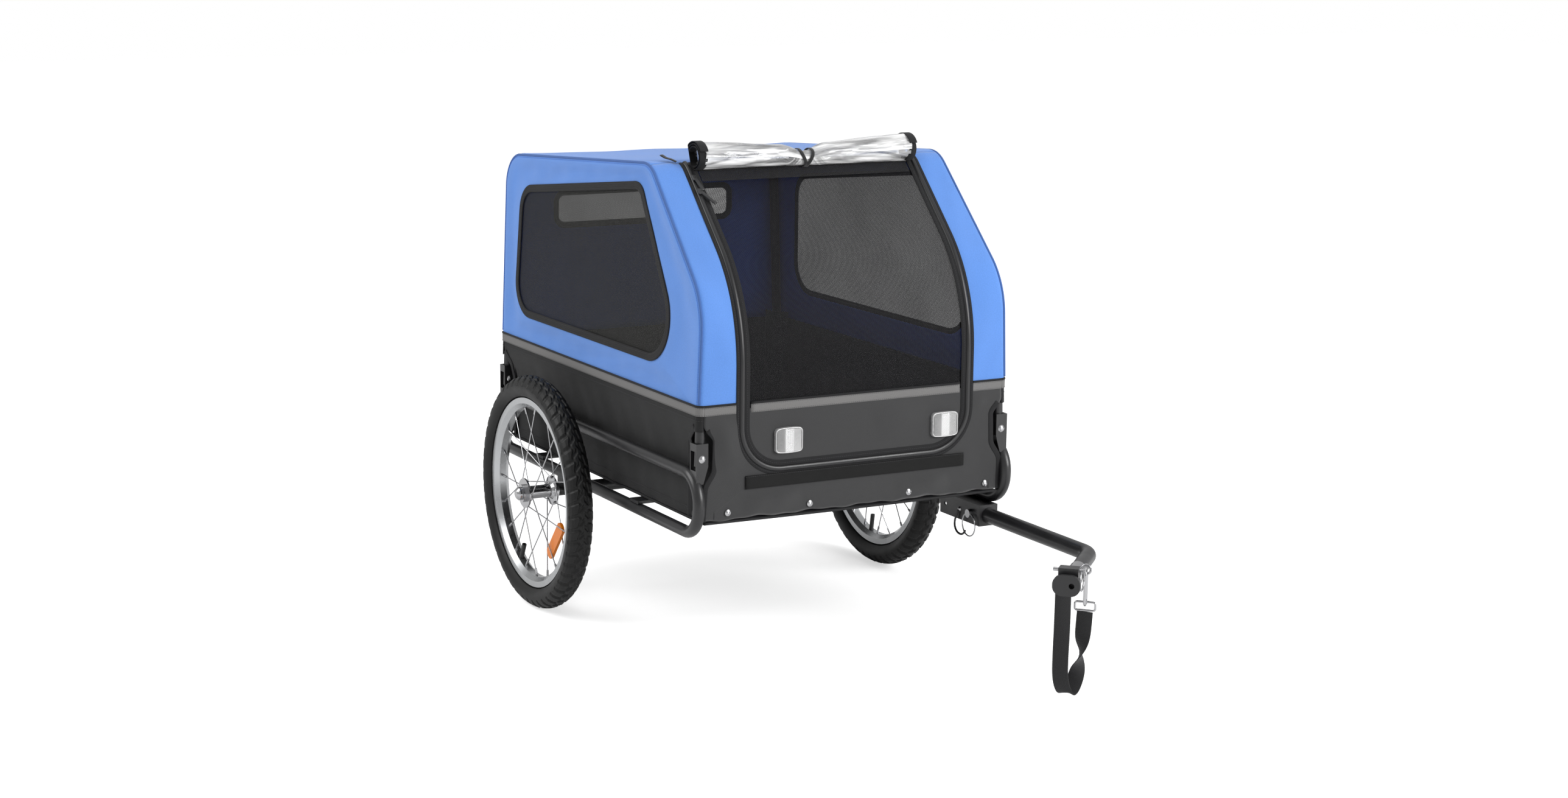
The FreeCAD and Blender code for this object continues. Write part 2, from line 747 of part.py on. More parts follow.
def outset(points, distance, closed=False):
    """The same outline moved outwards, where outwards is to the right of the way round."""
    count = len(points)
    moved = []
    for index, here in enumerate(points):
        ways = []
        if closed or index > 0:
            ways.append((here - points[index - 1]).normalize())
        if closed or index < count - 1:
            ways.append((points[(index + 1) % count] - here).normalize())
        sides = [Vector(way.z, 0, -way.x) for way in ways]
        middle = (sides[0] + sides[-1]).normalize()
        moved.append(here + middle * (float(distance) / middle.dot(sides[0])))
    return moved


def hoop_line(distance):
    """The hoop's axis moved outwards, with its bends."""
    return rounded_path(outset(upright(HOOP), distance), [bend + distance for bend in HOOP_BENDS])


def hung(label, shape, side):
    """A sub-part on a hoop, leaned in from the fold axis."""
    lean = Rotation(Vector(1, 0, 0), float(S.hoop_lean) * side)
    place(shaped(label, sided(shape, side)), 0, S.fold_offset * side, fold_height, lean)


def plate_between(wire, low, high):
    """Plate with an upright outline, between two distances along Y."""
    face = Part.Face(wire)
    face.translate(Vector(0, float(low), 0))
    return face.extrude(Vector(0, float(high) - float(low), 0))


def hoop_tube():
    path = hoop_line(0)
    tube = round_bar(path, S.hoop_tube_radius).cut(round_bar(path, S.hoop_tube_radius - S.tube_gauge))
    for x in (S.hoop_front, S.hoop_rear):
        reach = float(S.hoop_tube_radius + S.overrun)
        tube = tube.cut(rod(Vector(float(x) - reach, 0, 0), Vector(float(x) + reach, 0, 0),
                            S.rivet_radius + S.rivet_clearance))
    return tube


skin_near = S.hoop_tube_radius + S.fabric_gap
skin_far = skin_near + S.fabric_gauge
ear_height = fold_height + S.bracket_rise + S.ear_clearance
stripe_height = ear_height + S.ear_depth
stripe_rise = stripe_height - fold_height
window_bends = [S.window_front_bend, S.window_crest_bend, S.window_tail_bend, S.window_rear_bend]
window_corners = upright([
    (S.hoop_rear + (S.hoop_front - S.hoop_rear) * across, stripe_rise + (S.crest_rise - stripe_rise) * up)
    for across, up in WINDOW_SHARES])


def window_line(inset):
    points = outset(window_corners, -inset, closed=True)
    return rounded_path(points, [bend - inset for bend in window_bends], closed=True)


def closed_outline(path):
    """An open path closed by a straight line."""
    ends = [path.OrderedVertexes[-1].Point, path.OrderedVertexes[0].Point]
    return Part.Wire(path.OrderedEdges + [Part.LineSegment(*ends).toShape()])


def side_panel():
    """Blue side above the stripe, with the window's opening."""
    whole = plate_between(closed_outline(hoop_line(S.hoop_tube_radius)), skin_near, skin_far)
    below = block((S.hoop_rear * 2, -skin_far, -S.crest_rise), (S.hoop_front * 2, skin_far * 2, stripe_rise))
    return whole.cut(below).cut(plate_between(window_line(0), skin_near, skin_far))


def side_window():
    """Mesh with its sewn binding."""
    border = plate_between(window_line(0), skin_near, skin_far)
    recess = plate_between(window_line(S.binding_width), skin_near + S.mesh_gauge, skin_far)
    return border.cut(recess)


def side_skirt():
    """Black cloth from the stripe in to the fold axis."""
    foot = S.fold_gap_above
    section = Part.makePolygon([Vector(float(floor_rear), float(y), float(z)) for y, z in (
        (skin_near, stripe_rise), (skin_far, stripe_rise), (foot, foot),
        (foot - S.fabric_gauge, foot), (skin_near, stripe_rise))])
    return Part.Face(section).extrude(Vector(float(floor_front - floor_rear), 0, 0))


for name, side in SIDES.items():
    hung("hoop_" + name, hoop_tube(), side)
    hung("side_panel_" + name, side_panel(), side)
    hung("side_window_" + name, side_window(), side)
    hung("side_skirt_" + name, side_skirt(), side)
flank = block((floor_rear, apron_inner, hem_height),
              (floor_front, apron_outer, fold_height - S.fold_gap_below))
shaped("side_aprons", Part.makeCompound([flank, mirrored(flank)]))

# Cloth over the hoops from front to rear: one bent strip, cut into its panels
wrap_near = S.hoop_tube_radius + S.end_fabric_gap
wrap_far = wrap_near + S.fabric_gauge
front_near = S.hoop_front + wrap_near
front_far = S.hoop_front + wrap_far
rear_near = S.hoop_rear - wrap_near
rear_far = S.hoop_rear - wrap_far
zip_near = S.door_half_width + S.zip_gap
zip_far = zip_near + S.zip_width
pillar_near = zip_far + S.zip_gap
crest_height = fold_height + S.crest_rise
roof_top = crest_height + wrap_far
rear_split = fold_height + S.tail_rise - S.tail_bend
window_high = rear_split - S.rear_window_drop
window_low = window_high - S.rear_window_height
stripe_low = stripe_height - S.zip_gap


def wrap(half_width):
    """The bent strip over the full width."""
    outer = hoop_line(wrap_far)
    inner = hoop_line(wrap_near)
    ends = [[path.OrderedVertexes[index].Point for path in (outer, inner)] for index in (0, -1)]
    caps = [Part.LineSegment(*pair).toShape() for pair in ends]
    loop = Part.Wire(Part.sortEdges(outer.Edges + inner.Edges + caps)[0])
    strip = plate_between(loop, -half_width, half_width)
    strip.translate(Vector(0, 0, float(fold_height)))
    return strip


def band(low, high):
    """Everything between two distances from the middle plane, on both sides."""
    span = S.loop_front * 2
    piece = block((-span, low, 0), (span, high, span))
    return piece.fuse(mirrored(piece))


def ahead_of(x, low):
    return block((x, -S.loop_front, low), (S.loop_front * 2, S.loop_front, S.loop_front * 2))


cloth = wrap(S.roof_half_width)
front_cloth = cloth.common(ahead_of(S.crest_place, stripe_height))


def u_plate(near, far, half, low, high, corner):
    """Upright plate across the front with rounded lower corners."""
    y, z0, z1, r = float(half), float(low), float(high), float(corner)
    x = float(near)
    turn = r * (1 - math.cos(math.pi / 4))
    points = [Vector(x, y, z1), Vector(x, y, z0 + r), Vector(x, y - r, z0), Vector(x, r - y, z0),
              Vector(x, -y, z0 + r), Vector(x, -y, z1)]
    edges = [Part.LineSegment(points[0], points[1]).toShape(),
             Part.Arc(points[1], Vector(x, y - turn, z0 + turn), points[2]).toShape(),
             Part.LineSegment(points[2], points[3]).toShape(),
             Part.Arc(points[3], Vector(x, turn - y, z0 + turn), points[4]).toShape(),
             Part.LineSegment(points[4], points[5]).toShape(),
             Part.LineSegment(points[5], points[0]).toShape()]
    return Part.Face(Part.Wire(edges)).extrude(Vector(float(far) - x, 0, 0))


def apron(near, far):
    """Black end panel with ears over the hinge channels."""
    half, ear = S.apron_half_width, S.apron_ear_half_width
    corners = [(-half, hem_height), (half, hem_height), (half, ear_height),
               (ear, ear_height), (ear, stripe_low), (-ear, stripe_low),
               (-ear, ear_height), (-half, ear_height), (-half, hem_height)]
    wire = Part.makePolygon([Vector(float(near), float(y), float(z)) for y, z in corners])
    return Part.Face(wire).extrude(Vector(float(far) - float(near), 0, 0))


zip_bottom = door_bottom - S.zip_gap - S.zip_width
zip_corner = S.door_corner + S.zip_gap + S.zip_width
cut_out = u_plate(front_near, front_far, pillar_near, zip_bottom - S.zip_gap, stripe_height,
                  zip_corner + S.zip_gap)
tube_face = S.loop_front - S.cross_tube_setback + S.cross_tube_radius
hem_rivets = []
for share in HEM_RIVET_SHARES:
    foot = Vector(float(front_far), float(S.apron_half_width) * share, float(cross_tube_height))
    toe = Vector(float(tube_face), foot.y, foot.z)
    hem_rivets.append(rod(toe, foot, S.hem_rivet_shank).fuse(
        dome(foot, Vector(1, 0, 0), S.hem_rivet_radius, S.hem_rivet_height)))
hem_studs = Part.makeCompound(hem_rivets)
shaped("hem_rivets", hem_studs)
shaped("front_apron", apron(front_near, front_far).cut(cut_out).cut(hem_studs))
shaped("rear_apron", apron(rear_near, rear_far))
shaped("front_pillars", front_cloth.common(band(pillar_near, S.roof_half_width)))
shaped("door_mesh", front_cloth.common(ahead_of(S.crest_place + S.door_hinge_gap, stripe_height))
       .common(band(-S.door_half_width, S.door_half_width)))
shaped("door_lower", u_plate(front_near, front_far, S.door_half_width, door_bottom, stripe_low,
                             S.door_corner))
zip_frame = u_plate(front_near, front_far, zip_far, zip_bottom, stripe_height, zip_corner)
zip_frame = zip_frame.cut(u_plate(front_near, front_far, zip_near, door_bottom - S.zip_gap, stripe_height,
                                  S.door_corner + S.zip_gap))
shaped("door_zip", zip_frame.fuse(front_cloth.common(band(zip_near, zip_far))).removeSplitter())
behind = block((-S.loop_front, -S.loop_front, rear_split),
               (S.crest_place - S.fabric_gap, S.loop_front, roof_top * 2))
shaped("roof_panel", cloth.common(behind))
back = block((-S.loop_front, -S.loop_front, stripe_height), (0, S.loop_front, rear_split - S.fabric_gap))
pane_wire = rounded_path([Vector(float(rear_far), float(y), float(z)) for y, z in (
    (-S.rear_window_half_width, window_low), (S.rear_window_half_width, window_low),
    (S.rear_window_half_width, window_high), (-S.rear_window_half_width, window_high))],
    [S.rear_window_corner], closed=True)
pane = Part.Face(pane_wire).extrude(Vector(float(S.fabric_gauge), 0, 0))
shaped("rear_panel", cloth.common(back).cut(pane))
shaped("rear_window", pane)

rods = []
for x, sink in ((S.crest_place, S.crest_bend * CREST_SINK_SHARE), (S.rear_rod_place, 0)):
    share = float(S.crest_place - x) / float(S.crest_place - S.hoop_rear)
    z = float(crest_height - sink) - share * float(S.crest_rise - S.tail_rise)
    lean = math.radians(float(S.hoop_lean))
    reach = float(S.fold_offset) - (z - float(fold_height)) * math.tan(lean) - float(S.hoop_tube_radius)
    reach = reach - float(S.fabric_gap)
    rods.append(rod(Vector(float(x), -reach, z), Vector(float(x), reach, z), S.rod_radius))
shaped("roof_rods", Part.makeCompound(rods))

reflector_centre = door_bottom + S.reflector_rise
reflectors = []
for y in (S.reflector_right, S.reflector_left):
    half_w, half_h = S.reflector_width / 2, S.reflector_height / 2
    corners = [Vector(float(front_far), float(y + a * half_w), float(reflector_centre + b * half_h))
               for a, b in ((-1, -1), (1, -1), (1, 1), (-1, 1))]
    wire = rounded_path(corners, [S.reflector_corner], closed=True)
    reflectors.append(Part.Face(wire).extrude(Vector(float(S.reflector_gauge), 0, 0)))
shaped("door_reflectors", Part.makeCompound(reflectors))
shaped("hook_strip", block((front_far, -S.hook_strip_half_width, hook_strip_low),
                           (front_far + S.hook_strip_gauge, S.hook_strip_half_width,
                            hook_strip_low + S.hook_strip_width)))

# Rolled rain cover along the front edge of the roof
roll_place = S.crest_place - S.roll_setback
roll_height = roof_top - S.roll_sink + S.roll_half_height + S.fabric_gap


def roll_section(y, share):
    """Flattened round section, standing on the roof."""
    depth, height = float(S.roll_half_depth) * share, float(S.roll_half_height) * share
    across, up = Vector(depth, 0, 0), Vector(0, 0, height)
    centre = Vector(float(roll_place), float(y), float(roll_height))
    return Part.Wire(Part.Ellipse(centre + across, centre + up, centre).toShape())


def roll_piece(stations):
    return Part.makeLoft([roll_section(y, share) for y, share in stations], True, True)


roll_end = S.roll_half_length - S.roll_end_length
half_tie = S.roll_tie_width / 2
shaped("rain_cover_roll", roll_piece((
    (-roll_end, 1), (-S.roll_pinch_reach, 1), (-half_tie, ROLL_PINCH_SHARE),
    (half_tie, ROLL_PINCH_SHARE), (S.roll_pinch_reach, 1), (roll_end, 1))))
waist = roll_piece(((-half_tie, ROLL_PINCH_SHARE), (half_tie, ROLL_PINCH_SHARE)))
tie_share = ROLL_PINCH_SHARE + float(S.roll_tie_gauge) / float(S.roll_half_depth)
tie = roll_piece(((-half_tie, tie_share), (half_tie, tie_share))).cut(waist)
right_end = roll_piece(((-S.roll_half_length, 1), (-roll_end, 1)))
left_end = roll_piece(((roll_end, 1), (S.roll_half_length, 1)))
shaped("roll_bindings", Part.makeCompound([right_end, tie, left_end]))

# Tow bar receiver under the left loop
receiver_half = S.receiver_width / 2
receiver_bore = receiver_half - S.receiver_gauge
receiver_height = loop_low - S.loop_tube_radius - receiver_half


def square_bar(rear, front, half):
    return block((rear, S.receiver_offset - half, receiver_height - half),
                 (front, S.receiver_offset + half, receiver_height + half))


def across_receiver(x, start, finish, radius):
    """Round bar along Y through the middle of the receiver."""
    return rod(Vector(float(x), float(start), float(receiver_height)),
               Vector(float(x), float(finish), float(receiver_height)), radius)


receiver_inboard = S.receiver_offset - receiver_half
receiver_outboard = S.receiver_offset + receiver_half
pin_hole = across_receiver(S.hitch_pin_place, receiver_inboard - S.overrun, receiver_outboard + S.overrun,
                           S.hitch_pin_radius + S.hitch_pin_clearance)
screw = across_receiver(S.screw_place, receiver_inboard, receiver_inboard + S.receiver_gauge,
                        S.screw_radius / 2)
box_tube = square_bar(S.receiver_rear, S.receiver_front, receiver_half)
box_tube = box_tube.cut(square_bar(S.receiver_rear - S.overrun, S.receiver_front + S.overrun, receiver_bore))
drain = across_receiver(S.receiver_rear + S.drain_setback, receiver_inboard - S.overrun,
                        receiver_inboard + S.receiver_gauge + S.overrun, S.drain_radius)
shaped("tow_receiver", box_tube.cut(pin_hole).cut(screw).cut(drain))

bar_start = Vector(float(S.receiver_rear + S.bar_tail), float(S.receiver_offset), float(receiver_height))
bar_corner = Vector(float(S.bar_bend_place), float(S.receiver_offset), float(receiver_height))
swing = math.radians(float(S.bar_bend_angle))
bar_way = Vector(math.cos(swing), -math.sin(swing), 0)
bar_end = bar_corner + bar_way * float(S.bar_stub)
bar_path = rounded_path([bar_start, bar_corner, bar_end], [S.bar_bend])
solid_bar = round_bar(bar_path, S.bar_radius)
bar_tube = solid_bar.cut(round_bar(bar_path, S.bar_radius - S.bar_gauge))
shaped("tow_bar", bar_tube.cut(pin_hole))

cap = square_bar(S.receiver_front - S.cap_length, S.receiver_front, receiver_bore - S.fabric_gap)
cap = cap.fuse(square_bar(S.receiver_front, S.receiver_front + S.cap_lip, receiver_half))
throat = rod(bar_start, bar_corner, S.bar_radius + S.bar_clearance)
shaped("receiver_cap", cap.cut(throat).removeSplitter())

# Hitch pin with its pull ring, and the screw that holds its tether
ring_axis = Vector(0, 1, 0)
head_low = receiver_inboard - S.fabric_gap - S.hitch_pin_head
hitch = across_receiver(S.hitch_pin_place, head_low, receiver_outboard + S.hitch_pin_reach,
                        S.hitch_pin_radius)
hitch = hitch.fuse(across_receiver(S.hitch_pin_place, head_low, head_low + S.hitch_pin_head,
                                   S.hitch_pin_head))
ring_spot = Vector(float(S.hitch_pin_place), float(head_low + S.hitch_pin_head / 2),
                   float(receiver_height - S.hitch_ring_radius))
ring_eye = Part.makeTorus(float(S.hitch_ring_radius), float(S.wire_radius + S.hitch_pin_clearance),
                          ring_spot, ring_axis)
hitch_ring = Part.makeTorus(float(S.hitch_ring_radius), float(S.wire_radius), ring_spot, ring_axis)
shaped("hitch_pin", Part.makeCompound([hitch.cut(ring_eye), hitch_ring]))
screw_head = dome(Vector(float(S.screw_place), float(receiver_inboard), float(receiver_height)),
                  Vector(0, -1, 0), S.screw_radius, S.screw_head_height)
shaped("tether_screw", screw.fuse(screw_head).removeSplitter())

# Coupler on the end of the bar, drawn along +X from the cut end of the bar
coupler_turn = Rotation(Vector(0, 0, 1), -float(S.bar_bend_angle))


def coupled(label, shape):
    """A sub-part at the end of the bar, turned with it."""
    thing = shaped(label, shape)
    thing.Placement = Placement(bar_end, coupler_turn)


def barrel(start, finish, radius):
    return rod(Vector(float(start), 0, 0), Vector(float(finish), 0, 0), radius)


def bent_wire(points, bends, radius, closed=False):
    """Wire form through points of the coupler."""
    route = [Vector(*[float(value) for value in point]) for point in points]
    return round_bar(rounded_path(route, bends, closed), radius)


sleeve_radius = S.bar_radius + S.sleeve_gauge
sleeve_front = -S.rubber_length / 2
sleeve_rear = sleeve_front - S.sleeve_length
eye_place = sleeve_front - S.sleeve_length / 2
strap_low = -(sleeve_radius + S.anchor_drop)
sleeve = barrel(sleeve_rear, sleeve_front, sleeve_radius)
sleeve = sleeve.fuse(block((sleeve_front - S.anchor_gauge, -S.strap_width, strap_low),
                           (sleeve_front, -S.bar_radius * TAB_EDGE_SHARE, -S.bar_radius * TAB_TOP_SHARE)))
eye_offset = sleeve_radius + S.eye_wire + S.swivel_gap
eye_height = S.eye_radius
lobe = Part.makeTorus(float(S.eye_radius), float(S.eye_wire), Vector(
    float(eye_place), float(eye_offset), float(eye_height)), Vector(1, 0, 0))
sleeve = sleeve.fuse(lobe).cut(barrel(sleeve_rear - S.overrun, S.overrun, S.bar_radius))
coupled("bar_sleeve", sleeve.removeSplitter())

bush = barrel(0, S.rubber_length, S.rubber_radius)
bush_bore = barrel(-S.overrun, S.rubber_length + S.overrun, S.stub_radius + S.swivel_gap)
coupled("coupler_bush", bush.cut(bush_bore))

neck_start = S.rubber_length + S.swivel_gap
neck_end = neck_start + S.neck_length
plate_end = neck_end + S.plate_gauge
plate_half = S.plate_width / 2
plate_rise = S.plate_height / 2
stadium = rounded_path([Vector(float(neck_end), float(plate_half) * a, float(plate_rise) * b)
                        for a, b in ((1, 1), (-1, 1), (-1, -1), (1, -1))],
                       [plate_rise * PLATE_CORNER_SHARE], closed=True)
head = barrel(-S.stub_length, neck_start, S.stub_radius).fuse(barrel(neck_start, neck_end, S.neck_radius))
head = head.fuse(Part.Face(stadium).extrude(Vector(float(S.plate_gauge), 0, 0)))
lug_start = neck_start + (S.neck_length - S.lug_length) / 2
lug_top = S.neck_radius + S.lug_height
lug_half = S.lug_width / 2
head = head.fuse(block((lug_start, -lug_half, S.neck_radius / 2),
                       (lug_start + S.lug_length, lug_half, lug_top)))
pin_spot = Vector(float(lug_start + S.lug_length / 2), 0, float(S.neck_radius + S.lug_height / 2))


def across_lug(start, finish, radius):
    return rod(pin_spot + Vector(0, float(start), 0), pin_spot + Vector(0, float(finish), 0), radius)


head = head.cut(across_lug(-lug_half - S.overrun, lug_half + S.overrun,
                           S.coupler_pin_radius + S.coupler_pin_clearance))
bolt_axis = [Vector(float(x), float(S.plate_hole_offset), 0)
             for x in (neck_end - S.plate_gauge, plate_end + S.overrun)]
head = head.cut(rod(*bolt_axis, S.plate_hole_radius))
coupled("coupler_head", head.removeSplitter())

pin_reach = lug_half + S.coupler_pin_overhang
cross_pin = across_lug(-pin_reach, pin_reach, S.coupler_pin_radius)
eye_at = pin_spot + Vector(0, float(pin_reach - S.coupler_pin_overhang / 2), -float(S.coupler_ring_radius))
pull_ring = Part.makeTorus(float(S.coupler_ring_radius), float(S.wire_radius), eye_at, Vector(0, 1, 0))
pull_eye = Part.makeTorus(float(S.coupler_ring_radius), float(S.wire_radius + S.coupler_pin_clearance),
                          eye_at, Vector(0, 1, 0))
coupled("coupler_pin", Part.makeCompound([cross_pin.cut(pull_eye), pull_ring]))

# Safety strap: a snap hook in the sleeve's eye, a rectangular ring and a loop of webbing
hook_half = S.hook_width / 2
hook_top = eye_height - S.eye_radius + S.eye_wire + S.hook_wire + S.swivel_gap
hook_low = hook_top - S.hook_length
hook_link = [(eye_place + hook_half * way, eye_offset, z) for way, z in (
    (-1, hook_low), (1, hook_low), (1, hook_top), (-1, hook_top))]
coupled("snap_hook", bent_wire(hook_link, [hook_half * HOOK_CORNER_SHARE], S.hook_wire, closed=True))
ring_top = hook_low + S.hook_wire + S.dring_wire + S.swivel_gap
ring_low = ring_top - S.dring_height
ring_half = S.dring_width / 2
strap_ring = [(eye_place, eye_offset + ring_half * way, z) for way, z in (
    (-1, ring_low), (1, ring_low), (1, ring_top), (-1, ring_top))]
coupled("strap_ring", bent_wire(strap_ring, [S.dring_wire * 2], S.dring_wire, closed=True))

# The webbing hangs from the tab under the sleeve, turns at the bottom and comes up to the ring
STRAP_ROUTE = [(-5.6, -14, -70), (-3.8, -15, -120), (-6.5, -15.5, -160), (-14, -10, -184), (-25, -1, -184),
               (-33, 6, -158), (-29.5, 13, -108)]
strap_top = (sleeve_front + S.fabric_gap + S.strap_gauge / 2, -S.strap_width * STRAP_TAB_SHARE,
             -(S.bar_radius + S.fabric_gap * 2))
strap_end = (eye_place, eye_offset, ring_low - S.dring_wire - S.fabric_gap)
route = [Vector(*[float(value) for value in point]) for point in [strap_top] + STRAP_ROUTE + [strap_end]]


def hanging_bends(points):
    """The largest even arc at each corner of a hanging route."""
    bends = []
    for before, here, after in zip(points, points[1:], points[2:]):
        shorter = min((here - before).Length, (after - here).Length)
        turn = (here - before).getAngle(after - here)
        bends.append(STRAP_ARC_SHARE * shorter / math.tan(turn / 2))
    return bends


strap_path = rounded_path(route, hanging_bends(route))
half_strap, half_web = float(S.strap_width) / 2, float(S.strap_gauge) / 2
section = Part.makePolygon([route[0] + Vector(half_web * a, half_strap * b, 0)
                            for a, b in ((-1, -1), (1, -1), (1, 1), (-1, 1), (-1, -1))])
webbing = Part.BRepOffsetAPI.MakePipeShell(strap_path)
webbing.setBiNormalMode(Vector(0, 1, 0))
webbing.add(section, False, False)
webbing.build()
webbing.makeSolid()
coupled("safety_strap", webbing.shape())

doc.recompute()
faults = [item.Label for item in doc.Objects if "Invalid" in item.State or "Error" in item.State]
for item in parts:
    if item.Shape.isNull() or not item.Shape.isValid() or not item.Shape.Solids:
        faults.append(item.Label)
if faults:
    raise RuntimeError("not built: " + ", ".join(sorted(set(faults))))
os.makedirs("parts", exist_ok=True)
for item in parts:
    item.Shape.exportStep("parts/%s.step" % item.Label)
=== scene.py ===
"""Dressing of a two-wheel dog trailer: sewn cabin cloth, net windows, zip, tyres, strap and finishes.

Metres, +X forward, +Y left, +Z up, origin on the ground below the axle.
"""
import json
import math

import bmesh
import bpy
import numpy as np
from mathutils import Matrix, Vector


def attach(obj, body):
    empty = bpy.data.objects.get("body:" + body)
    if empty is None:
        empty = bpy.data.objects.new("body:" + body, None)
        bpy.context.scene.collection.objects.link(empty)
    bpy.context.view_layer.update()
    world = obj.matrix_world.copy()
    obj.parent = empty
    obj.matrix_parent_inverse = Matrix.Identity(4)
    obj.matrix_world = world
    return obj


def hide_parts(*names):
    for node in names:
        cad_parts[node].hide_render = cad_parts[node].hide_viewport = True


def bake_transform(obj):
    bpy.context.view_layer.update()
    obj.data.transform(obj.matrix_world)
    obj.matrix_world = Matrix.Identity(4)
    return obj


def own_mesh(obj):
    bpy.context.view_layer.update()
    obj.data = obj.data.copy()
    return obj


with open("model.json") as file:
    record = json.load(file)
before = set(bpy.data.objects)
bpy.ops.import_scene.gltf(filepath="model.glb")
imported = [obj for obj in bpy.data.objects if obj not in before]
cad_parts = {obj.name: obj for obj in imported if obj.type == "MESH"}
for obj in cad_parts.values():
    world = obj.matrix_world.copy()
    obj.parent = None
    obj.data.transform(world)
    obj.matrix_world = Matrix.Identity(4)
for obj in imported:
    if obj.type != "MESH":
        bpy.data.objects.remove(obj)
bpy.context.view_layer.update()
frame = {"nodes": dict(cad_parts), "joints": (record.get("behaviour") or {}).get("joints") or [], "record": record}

# Hoops: their corners and bends in the leaning plane of a side, x along and up from the fold
joint = {j["name"]: j for j in frame["joints"]}
FOLD_Y = joint["left_side_fold"]["pos_m"][1]
FOLD_Z = joint["left_side_fold"]["pos_m"][2]
LEAN = math.radians(2.1)
HOOP_FRONT = 0.478
HOOP_REAR = -0.268
HOOP_CORNERS = np.array([(HOOP_FRONT, -0.012), (HOOP_FRONT, 0.236), (0.287, 0.425), (HOOP_REAR, 0.388),
                         (HOOP_REAR, -0.012)])
HOOP_BENDS = (0.110, 0.048, 0.050)
SKIN = 0.0103  # cloth out from the middle of a hoop's tube
FRONT_X = HOOP_FRONT + SKIN
REAR_X = HOOP_REAR - SKIN
SIDES = {"right": -1, "left": 1}
AHEAD = np.array([1.0, 0, 0])

# Levels and edges of the cloth
STRIPE_Z = 0.415
STRIPE_UP = STRIPE_Z - FOLD_Z
STRIPE_SIZE = (0.0135, 0.0011)
WELT_FOOT = STRIPE_UP + 0.010  # the seam's welt ends over the piping
HEM_Z = 0.243
STRIP_Z = 0.2990  # middle of the hook strip
CREST_X = 0.2867  # door and pillars end here, the roof begins
REAR_SPLIT = 0.680  # the roof ends at this height, the rear panel begins
CLOTH = 0.0012
PROUD = 0.0010  # end aprons stand this far past the hoops' cloth

# Windows: corners as shares of a side above the stripe, and the rear pane in y and z
WINDOW_SHARES = np.array([(0.956, 0.148), (0.718, 0.938), (0.083, 0.781), (0.062, 0.142)])
WINDOW_BENDS = (0.075, 0.035, 0.050, 0.060)
REAR_PANE = np.array([(-0.180, 0.599), (0.180, 0.599), (0.180, 0.672), (-0.180, 0.672)])
REAR_BENDS = (0.024,) * 4
BINDING = 0.013
BINDING_SIZE = (BINDING, 0.0022)
BINDING_SUNK = 0.0002
BINDING_TOP = 0.0021
LAP = 0.003  # cloth and net reach this far under a binding, where its stitches run
STITCH_ROWS = (LAP, BINDING - LAP)
NET_HOLLOW = 0.004
NET_BACK = {"side": 0.001, "door": 0.0008, "rear": 0.0012}

# Door and zip: half widths from the middle, the door's foot with its corners, and the bend of its knee
DOOR_HALF = 0.200
DOOR_LOW = 0.320
DOOR_CORNER = 0.065
DOOR_KNEE = 0.240
DOOR_NET_HALF = DOOR_HALF - 0.006
PILLAR_EDGE = 0.2098
ZIP_MIDDLE = 0.2042
ZIP_TAPES = (("outer_tape", 0.2108, (0.007, 0.0014), "chassis"),
             ("inner_tape", 0.1955, (0.009, 0.0014), "door"))
TAPE_LIFT = 0.0004
TAPE_ROW_LIFT = 0.0018
RIDGE_LIFT = 0.0002
RIDGE = (0.0045, 0.0042)
STRIPE_PAST_ZIP = 0.2145
STRIPE_ON_DOOR = 0.1890

# Black lower cloth: cut-outs beside the hinge brackets, flare at the hem, and where waves begin
CUT_TOP = 0.394
CUT_RISE = 0.026
CUT_SIDE = 0.021
CUT_FRONT = 0.0165
APRON_Y = 0.2682
APRON_ROWS = 50
HEM_FLARE = 0.004
FLARE_TOP = 0.262
TAIL_OUT = 0.0145  # an apron's tails reach out below the brackets, between these heights
TAIL = (0.325, 0.292)
FRONT_SUNK = 0.003  # the front cloth's foot goes back to the frame
SUNK_TOP = 0.30
WAVE_START = 0.03
INWARD_SHARE = 0.15  # of a wave, where it goes in
LEANING_CALM = 0.6  # a skirt's waves lose this share where it leans
STRIP_QUIET = (0.013, 0.030)
STRIP_BESIDE = (0.202, 0.230)
TAPE_QUIET = (0.012, 0.032)
EDGE_INSET = 0.004
APRON_IN = 0.0005
APRON_BINDING = (0.009, 0.0016)
BINDING_SKIP = 8  # rows of an apron's edge above its binding
APRON_ROW = (0.245, 0.019)
SKIRT_BINDING = (0.010, 0.0018)
SKIRT_ROW = 0.014
ROW_LIFT = 0.0002
CORNER_LAP = 0.010
HANG = (0.326, 0.410)  # a skirt goes over from hanging to the leaning side

# Name of a side's fold, given with cloth that spans both hoops
FOLD = "right_side_fold"

# Creases: depth, waves along both ways of the cloth, phase
SIDE_CREASES = [(0.0006, 7.1, 3.2, 0.4), (0.0005, -5.3, 9.7, 1.9), (0.0004, 16.0, -4.0, 0.2)]
PILLAR_CREASES = [(0.0007, 6.3, 0.7, 1.0)]
ROOF_CREASES = [(0.0008, 4.0, 1.2, 0.3), (0.0006, 1.5, 3.1, 2.2)]
SKIRT_WAVES = [(0.0011, 4.6, 2.0, 0.5), (0.0008, 9.3, -3.0, 2.1), (0.0005, 17.0, 5.0, 0.9)]
FRONT_WAVES = [(0.0024, 3.7, 2.5, 0.8), (0.0016, 7.1, -4.2, 2.6), (0.0007, 15.0, 7.0, 1.1)]
REAR_WAVES = [(0.0018, 3.1, 1.5, 0.2), (0.0012, 7.4, -2.2, 1.6)]
DOOR_WAVES = [(0.0018, 3.3, 5.0, 0.4), (0.0011, 7.3, -4.0, 1.2)]


# Surfaces worked out as whole arrays

def unit(vectors):
    """Each vector divided by its length."""
    return vectors / np.maximum(np.linalg.norm(vectors, axis=-1, keepdims=True), 1e-12)


